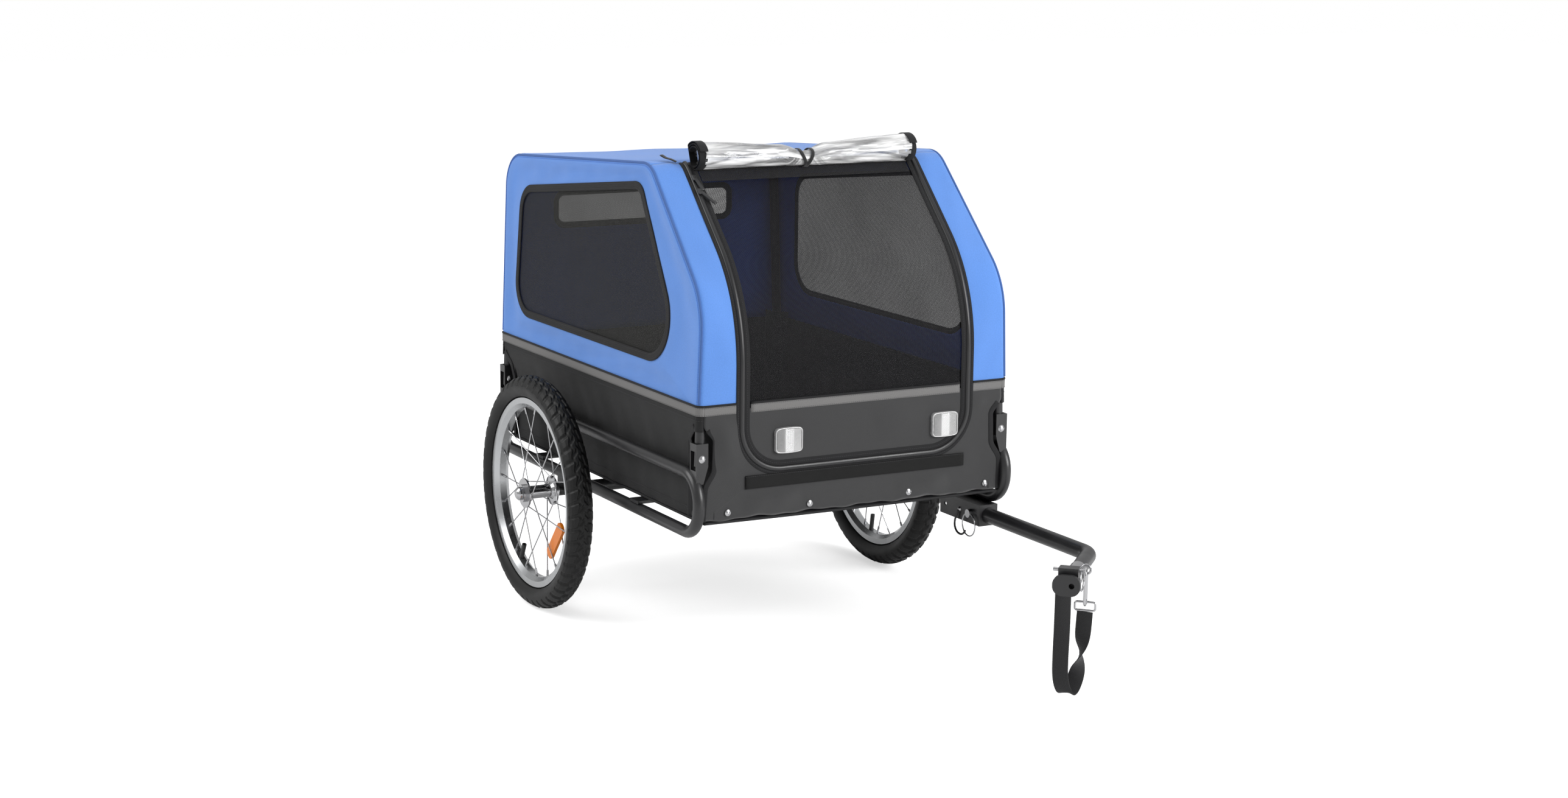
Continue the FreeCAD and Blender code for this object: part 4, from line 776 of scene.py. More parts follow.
def pillar(name, side):
    """Blue strip beside the door, from the seam round the hoop and in to the zip."""
    line, normals = RIM[:crest + 1], RIM_OUT[:crest + 1]
    edge = round_tube(line, normals, PAST_SEAM, side)
    share = np.linspace(0, 1, 12)[1:]
    door = xyz(DOOR_LINE[:, 0], side * PILLAR_EDGE, DOOR_LINE[:, 1])
    inward = edge[:, -1:] + (door - edge[:, -1])[:, None] * share[None, :, None]
    along = run_lengths(line, 0)[:, None]
    puff = (PILLAR_PUFF + ripple(along, share, PILLAR_CREASES)) * np.sin(math.pi * share)
    puff = puff * smooth_step(along, 0, PUFF_START)
    inward[..., 0] += puff * normals[:, :1]
    inward[..., 2] += puff * normals[:, 1:]
    points = np.concatenate([edge, inward], 1)
    return lined(grid("front_pillar_" + name, points, [BLUE, LINING], flip=side < 0))


def roof_cloth():
    """Roof over both hoops from the crest to the rear panel, sagging between them."""
    line, normals = RIM[crest:split + 1], RIM_OUT[crest:split + 1]
    left = round_tube(line, normals, PAST_SEAM, 1)
    right = round_tube(line, normals, PAST_SEAM[::-1], -1)
    share = np.linspace(0, 1, 40)[1:-1]
    middle = left[:, -1:] + (right[:, :1] - left[:, -1:]) * share[None, :, None]
    along = run_lengths(line, 0)[:, None]
    dip = ROOF_SAG * hump(share, 0.8) * hump(along / along[-1], 0.5)
    dip = dip + ripple(along, share, ROOF_CREASES) * np.sin(math.pi * share)
    middle[..., 0] -= dip * normals[:, :1]
    middle[..., 2] -= dip * normals[:, 1:]
    return lined(grid("roof_cloth", np.concatenate([left, middle, right], 1), [BLUE, LINING]))


def rear_window_line(inset):
    """Rounded outline of the rear window, moved in."""
    line = rounded_line(REAR_PANE, REAR_BENDS, closed=True)[:-1]
    return line - plane_normals(line, closed=True) * inset


def rear_cloth():
    """Rear panel with its window: rays from the window out to the panel's edges, then round the hoops."""
    line, normals = RIM[split:], RIM_OUT[split:]
    sides = [round_tube(line, normals, PAST_SEAM, side) for side in (-1, 1)]
    right, left = (edge[:, -1, 1:] for edge in sides)
    top = evenly(np.array([left[0], right[0]]), step=0.01)[1:-1]
    foot = evenly(np.array([right[-1], left[-1]]), step=0.01)[1:-1]
    outer = np.concatenate([right, foot, left[::-1], top, right[:1]])
    flat, share = between(outer, rear_window_line(REAR_LAP), REAR_PANE.mean(0), 14)
    depth = np.interp(flat[..., 1], sides[0][::-1, -1, 2], sides[0][::-1, -1, 0])
    points = xyz(depth + REAR_SAG * hump(share, 2)[None, :], flat[..., 0], flat[..., 1])
    pieces = [grid("rear", points, [BLUE, LINING])]
    pieces += [grid("rear", edge, [BLUE, LINING], flip=side < 0) for edge, side in zip(sides, (-1, 1))]
    return lined(merge("rear_cloth", pieces))


for name, side in SIDES.items():
    dressed(pillar(name, side), "chassis", ["front_pillars"] if side < 0 else [], FOLD)
dressed(roof_cloth(), "chassis", ["roof_panel"], FOLD)
dressed(rear_cloth(), "chassis", ["rear_panel"], FOLD)


# Black lower cloth: sides with their corner cut-outs, front and rear aprons, door and zip

def cut_out(z):
    """How far the edge beside a hinge bracket stands back: none above the cut-out, then a rounded step."""
    return smooth_step(-z, -CUT_TOP, -CUT_TOP + CUT_RISE)


def skirt_end(z):
    """How far a side skirt's ends stand back from the hoops: the cut-out, less a flare at the hem."""
    return CUT_SIDE * cut_out(z) - HEM_FLARE * smooth_step(-z, -FLARE_TOP, -HEM_Z)


def skirt_reach(x, z, side):
    """How far out a side skirt lies: on the leaning side above, and straight down inside the rail below."""
    leaning = np.abs(side_point(x, SKIN, (z - FOLD_Z) / math.cos(LEAN), side)[..., 1])
    return APRON_Y + (leaning - APRON_Y) * smooth_step(z, *HANG) - CLOTH


def side_skirt(name, side):
    """Black side cloth from stripe to hem: follows the side above, then hangs inside the rail in waves."""
    z = np.linspace(HEM_Z, STRIPE_Z, 60)[:, None]
    share = np.linspace(0, 1, 110)[None, :]
    back = skirt_end(z)
    x = (HOOP_REAR + back) + share * (HOOP_FRONT - HOOP_REAR - 2 * back)
    free = hump(share, 0.5) * (1 - LEANING_CALM * smooth_step(z, *HANG))
    free = free * smooth_step(STRIPE_Z - z, 0, WAVE_START)
    y = skirt_reach(x, z, side) + ripple(x, z, SKIRT_WAVES) * free
    return grid("side_skirt_cloth_" + name, xyz(x, side * y, z), [BLACK, BLACK_INSIDE], flip=side < 0)


def skirt_corners(name, side):
    """Black cloth round both hoop legs, from just below the cut-outs' tops to the stripe."""
    rise = np.linspace(CUT_TOP - CORNER_LAP, STRIPE_Z, 8) - FOLD_Z
    corners = []
    for edge, turned in ((HOOP_FRONT, 1), (HOOP_REAR, -1)):
        line = np.stack([np.full(len(rise), edge), rise], -1)
        normals = np.broadcast_to(np.array([turned, 0.0]), line.shape)
        corners.append(grid("corner", round_tube(line, normals, QUARTER, side), [BLACK, BLACK_INSIDE],
                            flip=side * turned < 0))
    return merge("skirt_corners_" + name, corners)


def skirt_trim(name, side):
    """Binding tape along both cut-out edges of a side skirt, and a row of stitches along its hem."""
    z = np.linspace(HEM_Z + 0.003, CUT_TOP - 0.002, 40)
    back = skirt_end(z) + EDGE_INSET
    y = side * skirt_reach(0.0, z, side)
    pieces = [band("skirt_binding_%s_%s" % (label, name), xyz(x, y, z), (0, side, 0), SKIRT_BINDING, TAPE)
              for label, x in (("front", HOOP_FRONT - back), ("rear", HOOP_REAR + back))]
    past = CUT_SIDE + EDGE_INSET
    x = np.linspace(HOOP_REAR + past, HOOP_FRONT - past, 160)
    hem = xyz(x, side * (APRON_Y + ROW_LIFT), HEM_Z + SKIRT_ROW)
    return pieces + [stitches("hem_stitches_" + name, hem, np.array([0, side, 0.0]), [THREAD])]


for name, side in SIDES.items():
    skirt, corner_cloth = side_skirt(name, side), skirt_corners(name, side)
    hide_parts("side_skirt_" + name)
    if side < 0:
        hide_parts("side_aprons")
    sway(lined(skirt))
    dressed(lined(corner_cloth), name + "_frame")
    for piece in skirt_trim(name, side):
        sway(piece)


def door_line(half):
    """The door's outline below the stripe as a U in y and z, with round corners."""
    grown = half - DOOR_HALF
    low = DOOR_LOW - grown
    corners = np.array([(-half, STRIPE_Z), (-half, low), (half, low), (half, STRIPE_Z)])
    return rounded_line(corners, (DOOR_CORNER + grown,) * 2)


def apron_edge():
    """Outer edge of an end apron as a U in y and z: beside the cut-outs, out at the tails, along the hem."""
    z = np.linspace(STRIPE_Z, HEM_Z, APRON_ROWS)
    y = FOLD_Y - (z - FOLD_Z) * math.sin(LEAN) - APRON_IN
    y = y - CUT_FRONT * cut_out(z) + TAIL_OUT * smooth_step(-z, -TAIL[0], -TAIL[1])
    hem = np.linspace(-y[-1], y[-1], 120)[1:-1]
    dip = HEM_Z + 0.0012 * np.sin(hem * 61.0) + 0.0008 * np.sin(hem * 143.0 + 1)
    right = np.stack([-y, z], -1)
    left = np.stack([y, z], -1)[::-1]
    return np.concatenate([right, np.stack([hem, dip], -1), left])


def front_sunk(z):
    """How far the foot of the front cloth goes back to the frame."""
    return FRONT_SUNK * smooth_step(-z, -SUNK_TOP, -HEM_Z)


def bulge(waves, z):
    """Waves below the stripe that mostly stand out, so that the hoops can fold past behind them."""
    return np.where(waves < 0, INWARD_SHARE * waves, waves) * smooth_step(STRIPE_Z - z, 0, WAVE_START)


def front_apron():
    """Black front cloth round the door's foot, its waves quiet at sewn edges and under the hook strip."""
    flat, share = between(apron_edge(), door_line(PILLAR_EDGE), np.array([0, STRIPE_Z]), 18)
    y, z = flat[..., 0], flat[..., 1]
    free = np.maximum(smooth_step(np.abs(z - STRIP_Z), *STRIP_QUIET), smooth_step(np.abs(y), *STRIP_BESIDE))
    waves = bulge(ripple(y, z, FRONT_WAVES), z) * free * hump(share, 0.7)[None, :]
    # Its black is painted lighter than the sides' cloth: painted light on the front
    return grid("front_apron_cloth", xyz(FRONT_X + PROUD + waves - front_sunk(z), y, z),
                [LIT_FRONT_BLACK, BLACK_INSIDE], flip=True)


def rear_apron():
    """Black rear cloth from stripe to hem."""
    edge = apron_edge()[:APRON_ROWS][::-1]
    z = np.linspace(STRIPE_Z, HEM_Z, 44)[:, None]
    share = np.linspace(-1, 1, 90)[None, :]
    y = np.interp(z, edge[:, 1], -edge[:, 0]) * share
    waves = bulge(ripple(y, z, REAR_WAVES), z) * np.cos(math.pi * share / 2)
    return grid("rear_apron_cloth", xyz(REAR_X - PROUD - waves, y, z), [BLACK, BLACK_INSIDE], flip=True)


def door_cloth():
    """Black foot of the door: rows as wide as its rounded outline, waved but for the edge under the tape."""
    turn = np.linspace(0, math.pi / 2, 16)
    corner_z = DOOR_LOW + DOOR_CORNER * (1 - np.cos(turn))
    corner_y = DOOR_HALF - DOOR_CORNER * (1 - np.sin(turn))
    upright = np.linspace(corner_z[-1], STRIPE_Z, 8)[1:]
    z = np.concatenate([corner_z, upright])[:, None]
    share = np.linspace(-1, 1, 80)[None, :]
    y = np.concatenate([corner_y, np.full(len(upright), DOOR_HALF)])[:, None] * share
    waves = bulge(ripple(y, z, DOOR_WAVES), z) * np.cos(math.pi * share / 2)
    waves = waves * smooth_step(z - DOOR_LOW, *TAPE_QUIET)
    # Its black is painted lighter than the sides' cloth: painted light on the front
    return grid("door_foot_cloth", xyz(FRONT_X + PROUD + waves, y, z), [LIT_FRONT_BLACK, BLACK_INSIDE], flip=True)


def apron_trim(label, x, facing):
    """Binding along both side edges of an end apron, and the row of stitches over its hem."""
    edge = apron_edge()
    inset = np.array([EDGE_INSET, 0])
    way = facing * AHEAD
    fore = facing > 0
    pieces = []
    for name, line in (("right", edge[BINDING_SKIP:APRON_ROWS] + inset),
                       ("left", edge[-APRON_ROWS:-BINDING_SKIP] - inset)):
        path = xyz(x - front_sunk(line[:, 1]) * fore, line[:, 0], line[:, 1])
        pieces.append(band("apron_binding_%s_%s" % (label, name), path, way, APRON_BINDING, TAPE))
    reach, rise = APRON_ROW
    hem = cross_run(x + facing * (ROW_LIFT - FRONT_SUNK * fore), -reach, reach, HEM_Z + rise)
    return pieces + [stitches("apron_stitches_" + label, hem, way, [THREAD])]


dressed(lined(front_apron()), "chassis", ["front_apron"])
for label, x, facing in (("front", FRONT_X, 1), ("rear", REAR_X, -1)):
    for piece in apron_trim(label, x, facing):
        dressed(piece, "chassis")
dressed(lined(rear_apron()), "chassis", ["rear_apron"])
dressed(lined(door_cloth()), "door", ["door_lower"], FOLD)


def door_net():
    """Net of the door: carried up along the door's line to the crest, hollowed between the zips."""
    share = np.linspace(-1, 1, 60)[None, :]
    along = run_lengths(DOOR_LINE, 0)[:, None]
    hollow = NET_HOLLOW * (1 - share ** 2) * hump(along / along[-1], 0.5)
    points = xyz(DOOR_LINE[:, :1] - hollow * DOOR_OUT[:, :1] - NET_BACK["door"], share * DOOR_NET_HALF,
                 DOOR_LINE[:, 1:] - hollow * DOOR_OUT[:, 1:])
    return grid("door_net", points, [NET], flip=True)


dressed(door_net(), "door", ["door_mesh"], FOLD)


def zip_path(half, lift):
    """Path round the door, from the right crest down and up to the left crest, with its outward way."""
    rise = xyz(DOOR_LINE[:, 0], half, DOOR_LINE[:, 1])
    rise_out = xyz(DOOR_OUT[:, 0], 0.0, DOOR_OUT[:, 1])
    foot = door_line(half)[1:-1]
    foot = xyz(FRONT_X, foot[:, 0], foot[:, 1])
    path = np.concatenate([rise[::-1] * np.array([1, -1, 1]), foot, rise])
    out = np.concatenate([rise_out[::-1], np.broadcast_to(AHEAD, foot.shape), rise_out])
    return path + out * lift, out


def zip_pieces():
    """Tapes on both sides of the zip, the stitches that hold them, and the ridge that covers its teeth."""
    pieces = []
    for label, half, size, body in ZIP_TAPES:
        tape = band("zip_" + label, *zip_path(half, TAPE_LIFT), size, TAPE)
        row = stitches("zip_stitches_" + label, *zip_path(half, TAPE_ROW_LIFT), [THREAD])
        pieces += [(tape, body), (row, body)]
    turn = np.linspace(0, math.pi, 9)
    arch = np.stack([RIDGE[0] * np.cos(turn), RIDGE[1] * np.sin(turn) ** 0.8], -1)
    arch = np.concatenate([arch, np.array([(0, -2 * RIDGE_LIFT)])])
    return pieces + [(sweep("zip_cover_ridge", *zip_path(ZIP_MIDDLE, RIDGE_LIFT), arch, [ZIP_COAT]), "chassis")]


for piece, body in zip_pieces():
    dressed(piece, body, ["door_zip"] if piece.name == "zip_cover_ridge" else [], FOLD)


# Tyres

AXLE_Z = 0.197
TRACK = 0.335
TYRE_RADIUS = 0.197
TYRE_SECTION = np.array([(-0.0120, 0.1610), (-0.0150, 0.1630), (-0.0195, 0.1690), (-0.0217, 0.1755),
                         (-0.0214, 0.1815), (-0.0188, 0.1875), (-0.0150, 0.1915), (-0.0080, 0.1958),
                         (0.0, TYRE_RADIUS)])
TREAD_BLOCKS = 54
TREAD_HALF = 0.031
TREAD_EDGE = (0.1800, 0.1835)
GROOVE_AT = 0.0075
GROOVE_SWAY = 0.0012
GROOVE_DEPTH = 0.0029
GROOVES_ACROSS = (-0.20, -0.11)  # share of a block's pitch
GROOVES_AROUND = (-0.0020, -0.0009)
BLOCK_SLANTS = (0.45, 1.1)  # outer and middle blocks
BLOCK_SHIFT = 0.25  # of the pitch, between the tyre's halves
LINING_SHARE = 0.87
TYRE_WALL = 0.0042


def tyre(name, side):
    """Tyre: a closed section turned about the axle, its slanting blocks parted by grooves both ways."""
    turn = np.linspace(0, 2 * math.pi, 16 * TREAD_BLOCKS, endpoint=False)[:, None]
    section = np.concatenate([TYRE_SECTION, TYRE_SECTION[-2::-1] * np.array([-1, 1])])
    along = run_lengths(section, 0)
    wall = along[-1] / 2 - TREAD_HALF
    places = np.concatenate([np.linspace(0, wall, 7)[:-1], np.linspace(wall, along[-1] - wall, 68),
                             np.linspace(along[-1] - wall, along[-1], 7)[1:]])
    line = np.stack([np.interp(places, along, section[:, axis]) for axis in (0, 1)], -1)
    place, radius = line[None, :, 0], line[None, :, 1]
    outer = np.abs(place) > GROOVE_AT
    pitch = 2 * math.pi * TYRE_RADIUS / TREAD_BLOCKS
    slant = np.where(outer, *BLOCK_SLANTS)
    lead = turn * TYRE_RADIUS + slant * np.abs(place) + np.sign(place) * BLOCK_SHIFT * pitch
    across = np.abs((lead / pitch + 0.5 * outer) % 1 - 0.5)
    around = np.abs(np.abs(place) - GROOVE_AT - GROOVE_SWAY * np.sin(lead * 2 * math.pi / pitch))
    grooves = np.maximum(smooth_step(-across, *GROOVES_ACROSS), smooth_step(-around, *GROOVES_AROUND))
    deep = radius - GROOVE_DEPTH * grooves * smooth_step(radius, *TREAD_EDGE)
    lining = np.stack([line[::-8, 0] * LINING_SHARE, line[::-8, 1] - TYRE_WALL], -1)[None]
    deep = np.concatenate([deep, np.broadcast_to(lining[..., 1], (len(turn), lining.shape[1]))], 1)
    place = np.concatenate([place, lining[..., 0]], 1)
    points = xyz(deep * np.cos(turn), side * TRACK + place, AXLE_Z + deep * np.sin(turn))
    return grid("tyre_body_" + name, points, [RUBBER], wrap_rows=True, wrap_cols=True, flip=True)


for name, side in SIDES.items():
    dressed(tyre(name, side), name + "_wheel", ["tyre_" + name])


# Safety strap, its route in millimetres from the tow bar's slanting end

HITCH = np.array([0.86065, 0.15735, 0.195])
STRAP_ROUTE = np.array([(-4.7, -14, -13.1), (-5.6, -14, -70), (-3.8, -15, -120), (-6.5, -15.5, -160),
                        (-14, -10, -184), (-25, -1, -184), (-33, 6, -158), (-29.5, 13, -108),
                        (-26, 16, -58.2)]) / 1000
STRAP_WIDTH = 0.0245
STRAP_GAUGE = 0.0019
TWIST_RUN = (0.62, 0.92)  # shares of the strap's length
FIRST_TURN = 0.35
FIRST_RUN = (-0.4, 0.0)


def from_hitch(points):
    """Places in the tow bar's slanting end, as world places."""
    slant = math.sqrt(0.5)
    return np.stack([HITCH[0] + (points[..., 0] + points[..., 1]) * slant,
                     HITCH[1] + (points[..., 1] - points[..., 0]) * slant, HITCH[2] + points[..., 2]], -1)


def spline_points(route):
    """Points along the smooth spline whose control points are a cord's route."""
    curve = bpy.data.curves.new("route", "CURVE")
    curve.dimensions = "3D"
    spline = curve.splines.new("NURBS")
    spline.points.add(len(route) - 1)
    spline.points.foreach_set("co", np.concatenate([route, np.ones((len(route), 1))], 1).ravel())
    spline.order_u = 3
    spline.use_endpoint_u = True
    spline.resolution_u = 16
    holder = bpy.data.objects.new("route", curve)
    mesh = bpy.data.meshes.new_from_object(holder)
    points = np.zeros(3 * len(mesh.vertices), np.float32)
    mesh.vertices.foreach_get("co", points)
    bpy.data.meshes.remove(mesh)
    bpy.data.objects.remove(holder)
    bpy.data.curves.remove(curve)
    return points.reshape(-1, 3).astype(float)


def safety_strap():
    """Webbing loop: a flat band carried along its route, turned half round on the way up to the ring."""
    route = spline_points(STRAP_ROUTE)
    ahead = unit(np.gradient(route, axis=0))
    face = unit(np.cross(ahead, np.array([0, 1.0, 0])))
    along = run_lengths(route, 0)[:, None]
    share = along / along[-1]
    twist = math.pi * smooth_step(share, *TWIST_RUN) - FIRST_TURN * smooth_step(-share, *FIRST_RUN)
    hint = face * np.cos(twist) + np.cross(ahead, face) * np.sin(twist)
    world = from_hitch(route)
    way = from_hitch(route + hint) - world
    profile = band_profile(STRAP_WIDTH, STRAP_GAUGE) - np.array([0, STRAP_GAUGE / 2])
    return sweep("safety_strap_webbing", world, way, profile, [WEBBING]), world


strap, strap_line = safety_strap()
dressed(strap, "chassis", ["safety_strap"])


# Stripe, piping and stitches round the cabin: each has its height over the stripe's middle and its lift

SEAM_END = FOLD_Y - STRIPE_UP * math.sin(LEAN)
PIPING = round_profile(0.0019, 8)
STRIPE_PLACE = (0.0, 0.0002)
PIPING_PLACE = (0.0083, 0.0006)
TRIM_ROWS = ((0.0054, 0.0012), (-0.0054, 0.0012), (-0.0140, 0.0003))


def side_ring(side, rise, lift):
    """Line round one side at a height: across the rear of the hoop, along the side and round its front."""
    reach = SKIN + lift
    turn = QUARTER[::-1]
    rear = np.stack([HOOP_REAR - reach * np.sin(turn), reach * np.cos(turn)], -1)
    fore = np.stack([HOOP_FRONT + reach * np.sin(QUARTER), reach * np.cos(QUARTER)], -1)
    run = np.linspace(rear[-1], fore[0], 60)[1:-1]
    plan = np.concatenate([rear, run, fore])
    way = np.concatenate([np.stack([-np.sin(turn), side * np.cos(turn)], -1),
                          np.tile([0, side], (len(run), 1)),
                          np.stack([np.sin(QUARTER), side * np.cos(QUARTER)], -1)])
    path = side_point(plan[:, 0], plan[:, 1], np.full(len(plan), rise), side)
    return path, np.concatenate([way, np.zeros((len(way), 1))], 1)


def trim_lines(above, lift):
    """Every run at a height over the stripe's middle: its line, outward way, body and fold."""
    rise = STRIPE_UP + above
    runs = [(name, *side_ring(side, rise / math.cos(LEAN), lift), name + "_frame", None)
            for name, side in SIDES.items()]
    for label, x, start, finish, way, body, fold in (
            ("front_right", FRONT_X + lift, -SEAM_END, -STRIPE_PAST_ZIP, AHEAD, "chassis", None),
            ("front_left", FRONT_X + lift, STRIPE_PAST_ZIP, SEAM_END, AHEAD, "chassis", None),
            ("door", FRONT_X + lift, -STRIPE_ON_DOOR, STRIPE_ON_DOOR, AHEAD, "door", FOLD),
            ("rear", REAR_X - lift, -SEAM_END, SEAM_END, -AHEAD, "chassis", None)):
        runs.append((label, cross_run(x, start, finish, FOLD_Z + rise), way, body, fold))
    return runs


for label, path, out, body, fold in trim_lines(*STRIPE_PLACE):
    dressed(band("stripe_" + label, path, out, STRIPE_SIZE, STRIPE), body, fold=fold)
for label, path, out, body, fold in trim_lines(*PIPING_PLACE):
    dressed(sweep("piping_" + label, path, out, PIPING, [TAPE]), body, fold=fold)
for number, (above, lift) in enumerate(TRIM_ROWS):
    for label, path, out, body, fold in trim_lines(above, lift):
        row = stitches("stripe_stitches_%d_%s" % (number, label), path, out, [THREAD])
        dressed(row, body, fold=fold)


# Rear window

def rear_net():
    """Net of the rear window: rays from its middle to the binding."""
    flat, _ = window_rays(rear_window_line(BINDING - LAP), REAR_PANE.mean(0), 12)
    points = xyz(REAR_X + NET_BACK["rear"], flat[..., 0], flat[..., 1])
    obj = grid("rear_net", points, [NET], wrap_rows=True)
    planar_uv(obj, flat.reshape(-1, 2))
    return obj


def rear_ring(inset, x):
    """The rear window's outline moved in, as world places."""
    line = rear_window_line(inset)
    return xyz(x, line[:, 0], line[:, 1])


dressed(rear_net(), "chassis", ["rear_window"], FOLD)
dressed(band("rear_window_binding", rear_ring(BINDING / 2, REAR_X + BINDING_SUNK), -AHEAD, BINDING_SIZE, TAPE,
             closed=True), "chassis", fold=FOLD)
for number, inset in enumerate(STITCH_ROWS):
    row = stitches("rear_window_stitches_%d" % number, rear_ring(inset, REAR_X - BINDING_TOP), -AHEAD, [THREAD])
    dressed(row, "chassis", fold=FOLD)


# Rolled rain cover

ROLL = np.array([0.3060, 0.7615])
ROLL_HALF = np.array([0.0235, 0.0200])
ROLL_END = 0.187
ROLL_OVER_ROOF = 0.0070
ROLL_OVER_DOOR = 0.004
ROLL_BINDING = (0.014, 0.0016)
BINDING_PAST_END = 0.0035
TIE = (0.0055, 0.0014)
TIE_SIZE = 1.07
FILM_TURNS = 1.55
FILM_PHASE = 0.3
FILM_CREASES = ((0.09, 2.0, 7.0, 1.0), (0.06, 3.5, -19.0, 2.3), (0.035, 6.0, 31.0, 0.7))
CREASE_MIDDLE = 0.6
GATHERS = 0.14
GATHER_WAVES = 5.5
GATHER_REACH = 0.055
GATHER_RUN = (0.004, 0.030)
FILM_WIND = 0.10  # each turn lies this share further in
WAIST = 0.62
WAIST_SPREAD = 0.22
WAIST_RUN = (0.004, 0.040)
END_SPREAD = 0.30
TIE_LEAN = (0.002, 0.009)
LIFT_AXIS = joint["door_lift"]["pos_m"]
LIFT_MOST = math.radians(70)


def waist(y):
    """Share of the roll's full size along it: drawn in by the tie in the middle, spread towards the ends."""
    return WAIST + WAIST_SPREAD * smooth_step(np.abs(y), *WAIST_RUN) + END_SPREAD * np.abs(y) / ROLL_END


def roll_place(y, turn, size):
    """Place on the roll: an oval whose foot runs straight across the door's top.

    What would sink into the roof with the door lifted is moved out of it, and what lies under the door's
    line is raised to it.
    """
    reach = waist(y) * size
    x = ROLL[0] + ROLL_HALF[0] * reach * np.cos(turn)
    z = ROLL[1] + ROLL_HALF[1] * (waist(y) + reach * np.sin(turn))
    rise, run = math.sin(LIFT_MOST), math.cos(LIFT_MOST)
    lifted = LIFT_AXIS[2] + (x - LIFT_AXIS[0]) * rise + (z - LIFT_AXIS[2]) * run
    short = np.maximum(DOOR_LINE[-1, 1] + ROLL_OVER_ROOF - lifted, 0)
    x, z = x + short * rise, z + short * run
    under = np.interp(x, DOOR_LINE[::-1, 0], DOOR_LINE[::-1, 1]) + ROLL_OVER_DOOR
    return xyz(x, y, np.maximum(z, under))


def around(turn):
    """Outward way at a turn of the roll."""
    return xyz(np.cos(turn), 0.0, np.sin(turn))


def rolled_film():
    """The wound film: a spiral section carried along the roll.

    It is creased by folded sines along the roll, and by gathers that fan out from the tie.
    """
    y = np.linspace(-ROLL_END, ROLL_END, 220)[:, None]
    turn = np.linspace(0, 2 * math.pi * FILM_TURNS, int(120 * FILM_TURNS))[None, :]
    folds = sum(depth * (np.abs(np.sin(a * turn + b * y + FILM_PHASE * c)) - CREASE_MIDDLE)
                for depth, a, b, c in FILM_CREASES)
    fan = np.abs(np.sin(GATHER_WAVES * turn + FILM_PHASE)) - CREASE_MIDDLE
    gathers = GATHERS * np.exp(-np.abs(y) / GATHER_REACH) * fan
    swell = 1 + (folds + gathers) * smooth_step(np.abs(y), *GATHER_RUN)
    wound = 1 - FILM_WIND * turn / (2 * math.pi)
    return grid("rain_cover_film", roll_place(y, turn, wound * swell), [FILM])


def roll_end(name, side):
    """Black binding on the roll's end: a band wound in the same spiral."""
    turn = np.linspace(0.4, 2 * math.pi * 2.6, 260)
    y = np.full(len(turn), side * (ROLL_END + BINDING_PAST_END))
    path = roll_place(y, turn, 1.02 - 0.085 * turn / math.pi)
    return band("roll_binding_" + name, path, around(turn), ROLL_BINDING, TAPE)


def elastic(name, side):
    """Tie round the roll's waist: starts at the middle in front and leans to one side at the back."""
    turn = np.linspace(-math.pi * 0.45, math.pi * 1.2, 60)
    lean = side * (TIE_LEAN[0] + TIE_LEAN[1] * smooth_step(np.sin(turn), -0.9, 1.0))
    return band("roll_tie_" + name, roll_place(lean, turn, TIE_SIZE), around(turn), TIE, WEBBING)


dressed(rolled_film(), "door", ["rain_cover_roll"], FOLD)
for name, side in SIDES.items():
    dressed(roll_end(name, side), "door", ["roll_bindings"] if side < 0 else [], FOLD)
    dressed(elastic(name, side), "door", fold=FOLD)


# Hook strip, the band of net at the door's top and the corner liners

LINER_PLAN = np.array([(0.036, 0.2730), (0.027, 0.2675), (0.019, 0.2580), (0.007, 0.2525), (-0.0085, 0.2500)])
LINER_TOP = 0.428
STRIP_SIZE = (0.021, 0.0026)
STRIP_HALF = 0.198
STRIP_ROW = (0.197, 0.009)
STRIP_LIFT = 0.0012
STRIP_ROW_LIFT = 0.0036
TOP_BAND = (0.006, 0.044)
TOP_BAND_HALF = 0.1895
TOP_BAND_LIFT = 0.0009

line = cross_run(FRONT_X + STRIP_LIFT, -STRIP_HALF, STRIP_HALF, STRIP_Z)
dressed(band("hook_strip_pile", line, AHEAD, STRIP_SIZE, PILE), "chassis", ["hook_strip"])
line = cross_run(FRONT_X + STRIP_ROW_LIFT, -STRIP_ROW[0], STRIP_ROW[0], STRIP_Z + STRIP_ROW[1])
dressed(stitches("hook_strip_stitches", line, AHEAD, [THREAD]), "chassis")


def door_top_band():
    """Doubled net along the top of the door: rows of its line just under the crest, a little proud."""
    along = run_lengths(DOOR_LINE, 0)
    left = along[-1] - along
    rows = (DOOR_LINE + DOOR_OUT * TOP_BAND_LIFT)[(left > TOP_BAND[0]) & (left < TOP_BAND[1])]
    y = np.linspace(-TOP_BAND_HALF, TOP_BAND_HALF, 60)[None, :]
    return grid("door_top_band", xyz(rows[:, :1], y, rows[:, 1:]), [DOUBLE_NET], flip=True)


dressed(door_top_band(), "door", fold=FOLD)


def through(points, step):
    """Smooth line through points: cubic pieces whose slopes come from the points on both sides."""
    along = run_lengths(points, 0)
    slope = np.gradient(points, along, axis=0)
    places = np.linspace(0, along[-1], int(along[-1] / step) + 2)
    piece = np.clip(np.searchsorted(along, places, side="right") - 1, 0, len(along) - 2)
    width = (along[piece + 1] - along[piece])[:, None]
    t = (places - along[piece])[:, None] / width
    return ((1 + 2 * t) * (1 - t) ** 2 * points[piece] + t * (1 - t) ** 2 * width * slope[piece]
            + t * t * (3 - 2 * t) * points[piece + 1] + t * t * (t - 1) * width * slope[piece + 1])


